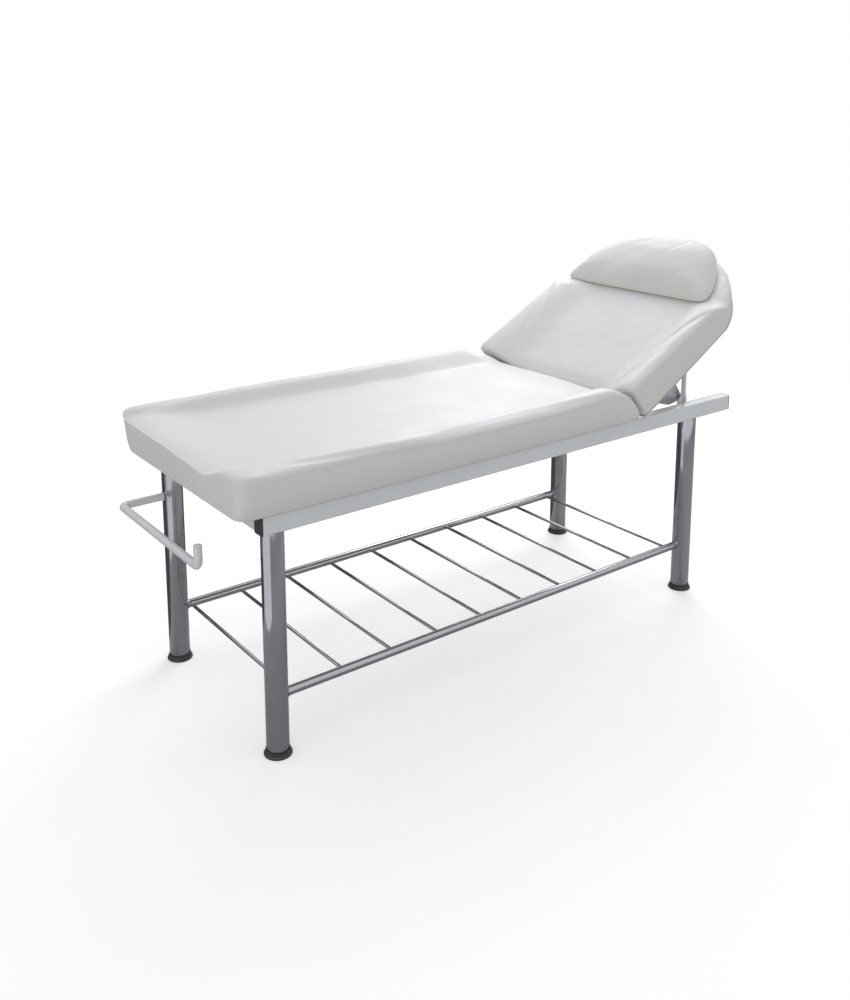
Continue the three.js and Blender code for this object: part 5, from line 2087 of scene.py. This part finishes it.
@dataclass
class Prop:
    """The brackets under the head section and the stay that hangs between them."""

    half_width: float = 0.241
    arm_radius: float = 0.007
    pivot_reach: float = 0.312
    pivot_drop: float = 0.016
    plate: float = 0.003
    open_gap: float = 0.0008
    seat: float = 0.0003
    flange: float = 0.026
    start: float = 0.136
    end: float = 0.343
    lobe_start: float = 0.150
    lobe_depth: float = 0.144
    lobe_margin: float = 0.011
    throat: float = 0.046
    eye: float = 0.015
    stop_drop: float = 0.144
    stop_offset: float = 0.0113
    shoe_thick: float = 0.005
    shoe_heel: float = 0.026
    shoe_toe: float = 0.014
    shoe_height: float = 0.064
    shoe_drop: float = 0.008
    bar_drop: float = 0.060
    boss_radius: float = 0.0105
    peg_radius: float = 0.004
    sides: int = 32

    def build(self) -> None:
        """Models both brackets and the stay."""
        for side, sign in SIDES:
            self.bracket(side, sign)
        self.stay()

    def curve(
        self, start: tuple[float, float], pull: tuple[float, float], end: tuple[float, float], steps: int = 8
    ) -> list[tuple[float, float]]:
        """Points of a curve that leaves and meets its ends along lines to a third point."""
        points = []
        for k in range(1, steps + 1):
            t = k / steps
            a, b, c = (1 - t) ** 2, 2 * t * (1 - t), t * t
            points.append(tuple(a * p + b * q + c * r for p, q, r in zip(start, pull, end)))
        return points

    def bracket_outline(self) -> list[tuple[float, float]]:
        """The bracket's outline in the head section's flat frame."""
        low = SIZES.cushion_bottom - SIZES.hinge_height - 0.0008
        top = low - self.seat
        pivot = (self.pivot_reach, low - self.pivot_drop)
        tilt = SIZES.tilt
        stop = pivot[0] - self.stop_drop * math.sin(tilt) - self.stop_offset * math.cos(tilt)
        tip = stop + self.lobe_margin
        middle = (self.lobe_start + tip) / 2
        throat = tip - self.throat / 8
        outline = [
            (self.start, top),
            (self.lobe_start, low - self.lobe_depth * 0.6),
            (middle - self.throat / 4, low - self.lobe_depth * 0.84),
            (tip, low - self.lobe_depth),
        ]
        neck = (throat, low - self.lobe_depth * 0.42)
        outline += self.curve(outline[-1], (tip + self.throat / 8, low - self.lobe_depth * 0.72), neck)
        under = (pivot[0] - self.eye, pivot[1] - self.eye * 0.8)
        outline += self.curve(neck, (throat, pivot[1] - self.eye), under)
        for k in range(13):
            angle = -math.pi * 0.65 * (1 - k / 12)
            outline.append((pivot[0] + self.eye * math.cos(angle), pivot[1] + self.eye * math.sin(angle)))
        outline.append((self.end, top))
        return outline

    def bracket(self, side: str, sign: float) -> None:
        """Models one bracket: its lobed plate and the flange under the board.

        Args:
            side: The side's name.
            sign: -1 or 1, the direction of the side along Y.
        """
        node = f"stay_bracket_{side}"
        inner = self.half_width - self.arm_radius - self.open_gap - self.plate
        outline = self.bracket_outline()
        low_y = inner if sign > 0 else -inner - self.plate
        plate = slab(node, outline, low_y, self.plate, 0.0006, True)
        top = outline[0][1]
        edges = sorted((sign * (inner + self.plate / 2), sign * (inner + self.plate / 2 - self.flange)))
        flange = block(
            "flange",
            Vector((self.start, edges[0], top - self.plate)),
            Vector((self.end, edges[1], top)),
            2,
            0.004,
            4,
        )
        bevel_edges(flange, 0.0006, 2, 50.0)
        bracket = join([plate, flange], f"{node}_plate")
        bracket.data.transform(SIZES.head_place())
        fit_out(bracket, Body.HEAD, Slot.ZINC, (node,), 40.0)

    def shoe_outline(self, x: float, z: float) -> list[tuple[float, float]]:
        """The outline of a shoe that flares from an arm to its base.

        Args:
            x: The middle of the arm.
            z: The height of the peg.

        Returns:
            Points of X and Z.
        """
        r = self.arm_radius
        heel = (-self.shoe_heel, 0.012)
        toe = (self.shoe_toe, 0.018)
        outline = [(-self.shoe_heel, -self.shoe_drop), (self.shoe_toe, -self.shoe_drop), toe]
        outline += self.curve(toe, (r, 0.024), (r, self.shoe_height))
        outline.append((-r, self.shoe_height))
        outline += self.curve((-r, self.shoe_height), (-r, 0.024), heel)
        return [(x + px, z + pz) for px, pz in outline]

    def stay(self) -> None:
        """Models the stay: two arms with eyes, a crossbar, and a shoe and a peg on each arm."""
        low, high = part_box("stay")
        place = node_centre("stay_bolt_left")
        x, top = place.x, place.z
        base = low.z + self.shoe_drop
        r = self.arm_radius
        parts = []
        bar_z = top - self.bar_drop
        for _, sign in SIDES:
            y = sign * self.half_width
            arm = (Vector((x, y, base - 0.004)), Vector((x, y, top + 0.005)))
            parts.append(rod("arm", *arm, r, self.sides, 0.001))
            boss = (Vector((x, y - r + 0.0002, top)), Vector((x, y + r - 0.0002, top)))
            parts.append(rod("boss", *boss, self.boss_radius, self.sides, 0.0012))
            outline = self.shoe_outline(x, base)
            parts.append(slab("shoe", outline, y - self.shoe_thick / 2, self.shoe_thick, 0.0007, True))
            peg_end = high.y if sign > 0 else low.y
            peg = (Vector((x, y, base)), Vector((x, peg_end, base)))
            parts.append(rod("peg", *peg, self.peg_radius, 24, 0.0006))
            at = Vector((x, y - sign * (r + 0.0002), bar_z))
            parts.append(bead("weld", at, Vector((0, 1, 0)), r - 0.0004, 0.0012, 24))
        bar = (Vector((x, -self.half_width, bar_z)), Vector((x, self.half_width, bar_z)))
        parts.append(rod("crossbar", *bar, r - 0.0003, self.sides, 0.0005))
        fit_out(join(parts, "stay_bar"), Body.STAY, Slot.PAINT, ("stay",), 40.0)


# Frame pieces that keep their shape


def dress_frame_nodes() -> None:
    """Gives each node that stays its finish by its slot in the record."""
    for sub in frame["record"]["subparts"]:
        node = frame["nodes"].get(sub["node"])
        if node is None or node.hide_render:
            continue
        FINISHES.dress(node, Slot(sub["material_slot"]))
        log.info("node %s keeps its shape", sub["node"])


# Studio


@dataclass
class Studio:
    """The floor, the lights and the camera."""

    eye: tuple[float, float, float] = (-1.7731, -2.2470, 1.4895)
    forward: tuple[float, float, float] = (0.59178, 0.78432, -0.18614)
    lens: float = 38.133
    shift_y: float = -0.2
    floor_size: float = 60.0
    shadow_reach: float = 1.3
    ambient: float = 0.72
    floor_glow: float = 0.38
    floor_tone: tuple[float, float, float] = (0.78, 0.78, 0.78)
    gloss_tone: tuple[float, float, float] = (0.50, 0.505, 0.515)
    card_height: float = 0.58

    def build(self) -> None:
        """Makes the whole studio."""
        self.camera()
        self.floor()
        self.world()
        self.lights()
        self.cards()
        bpy.context.scene.view_settings.view_transform = "Standard"

    def camera(self) -> None:
        """Places the camera where the photo was taken from."""
        bpy.ops.object.camera_add(location=Vector(self.eye) + Vector((SIZES.shift(), 0, 0)))
        camera = bpy.context.object
        camera.name = "photo_camera"
        camera.rotation_euler = Vector(self.forward).to_track_quat("-Z", "Y").to_euler()
        camera.data.lens = self.lens
        camera.data.sensor_width = 36.0
        camera.data.shift_y = self.shift_y
        camera.data.clip_end = 200.0
        bpy.context.scene.camera = camera

    def floor(self) -> None:
        """Lays a pale floor that keeps the table's shadow."""
        bpy.ops.mesh.primitive_plane_add(size=self.floor_size, location=(0, 0, 0))
        floor = bpy.context.object
        floor.name = "studio_floor"
        bench, shader, place = start_material("pale_floor")
        shader.inputs["Roughness"].default_value = 0.9
        shader.inputs["Specular IOR Level"].default_value = 0.1
        path = bench.node("ShaderNodeLightPath")
        # Glossy rays see the floor in a darker tone: a painted reflection that darkens what the chrome shows.
        tone = bench.mix(path.outputs["Is Glossy Ray"], (*self.floor_tone, 1), (*self.gloss_tone, 1))
        bench.set(shader, {"Base Color": tone})
        glow = bench.node("ShaderNodeEmission")
        share = bench.maths("MULTIPLY", path.outputs["Is Camera Ray"], self.floor_glow)
        bench.set(glow, {"Color": (1, 1, 1, 1), "Strength": share})
        both = bench.node("ShaderNodeAddShader", {0: shader.outputs[0], 1: glow.outputs[0]})
        away = bench.node("ShaderNodeVectorMath", {0: place}, operation="LENGTH")
        distant = bench.remap(away.outputs["Value"], self.shadow_reach, 2.2 * self.shadow_reach, 0.0, 1.0)
        white = bench.node("ShaderNodeEmission", {"Color": (1, 1, 1, 1), "Strength": 1.0})
        whole = bench.node("ShaderNodeMixShader")
        blend = bench.maths("MULTIPLY", distant, path.outputs["Is Camera Ray"])
        bench.set(whole, {0: blend, 1: both.outputs[0], 2: white.outputs[0]})
        out = bench.tree.nodes["Material Output"]
        bench.set(out, {"Surface": whole.outputs[0]})
        floor.data.materials.append(bench.material)

    def world(self) -> None:
        """Makes the surroundings white to the camera and softly lit elsewhere."""
        world = bpy.data.worlds.new("studio_world")
        world.use_nodes = True
        bpy.context.scene.world = world
        bench = NodeBench(world.node_tree)
        background = world.node_tree.nodes["Background"]
        path = bench.node("ShaderNodeLightPath")
        clear = bench.maths("MAXIMUM", path.outputs["Is Camera Ray"], path.outputs["Is Transmission Ray"])
        seen = bench.maths("MAXIMUM", clear, path.outputs["Is Glossy Ray"])
        strength = bench.remap(seen, 0.0, 1.0, self.ambient, 1.0)
        colour = bench.mix(clear, (0.965, 0.98, 1.0, 1), (1, 1, 1, 1))
        bench.set(background, {"Color": colour, "Strength": strength})

    def lights(self) -> None:
        """Hangs a large soft light behind the head end and a weak one at the foot."""
        places = (
            ("window", (2.4, 1.95, 2.75), (0.0, 0.0, 0.67), 2.2, 60.0),
            ("foot_fill", (-2.5, -0.3, 1.0), (-0.9, 0.0, 0.62), 1.2, 2.0),
        )
        for name, at, aim, size, power in places:
            bpy.ops.object.light_add(type="AREA", location=at)
            lamp = bpy.context.object
            lamp.name = name
            lamp.data.size = size
            lamp.data.energy = power
            lamp.rotation_euler = (Vector(aim) - Vector(at)).to_track_quat("-Z", "Y").to_euler()

    def cards(self) -> None:
        """Stands a dark card along the far side and a bright one at the foot, which only gloss shows."""
        kinds = (
            ("dark_card", (-1.95, 0.36), (2.60, 0.36), (0.0, 0.50), (0.11, 0.11, 0.115)),
            ("bright_card", (-1.50, -0.85), (-1.50, 0.24), (0.0, 0.0), (1.0, 1.0, 1.02)),
        )
        for name, first, last, lean, colour in kinds:
            bench, _, _ = start_material(f"{name}_surface")
            glow = bench.node("ShaderNodeEmission", {"Color": (*colour, 1), "Strength": 1.0})
            bench.set(bench.tree.nodes["Material Output"], {"Surface": glow.outputs[0]})
            bpy.ops.mesh.primitive_plane_add(size=1.0, location=(0, 0, 0))
            card = bpy.context.object
            card.name = name
            high = Vector((*lean, self.card_height))
            low = (Vector((*first, 0.002)), Vector((*last, 0.002)))
            corners = (*low, low[0] + high, low[1] + high)
            for vertex, corner in zip(card.data.vertices, corners):
                vertex.co = corner
            card.data.materials.append(bench.material)
            for ray in ("camera", "diffuse", "shadow", "transmission"):
                setattr(card, f"visible_{ray}", False)


def main() -> None:
    """Builds the table's looks in order."""
    logging.basicConfig(level=logging.INFO, format="%(name)s: %(message)s")
    Studio().build()
    FINISHES.build()
    frame_parts = (Legs(), Shelf(), RollHolder(), Rails(), Boards(), Prop())
    for assembly in (*frame_parts, BaseSection(), HeadSection(), Pillow()):
        log.info("building %s", type(assembly).__name__)
        assembly.build()
    dress_frame_nodes()
    bpy.context.view_layer.update()


if __name__ == "__main__":
    main()
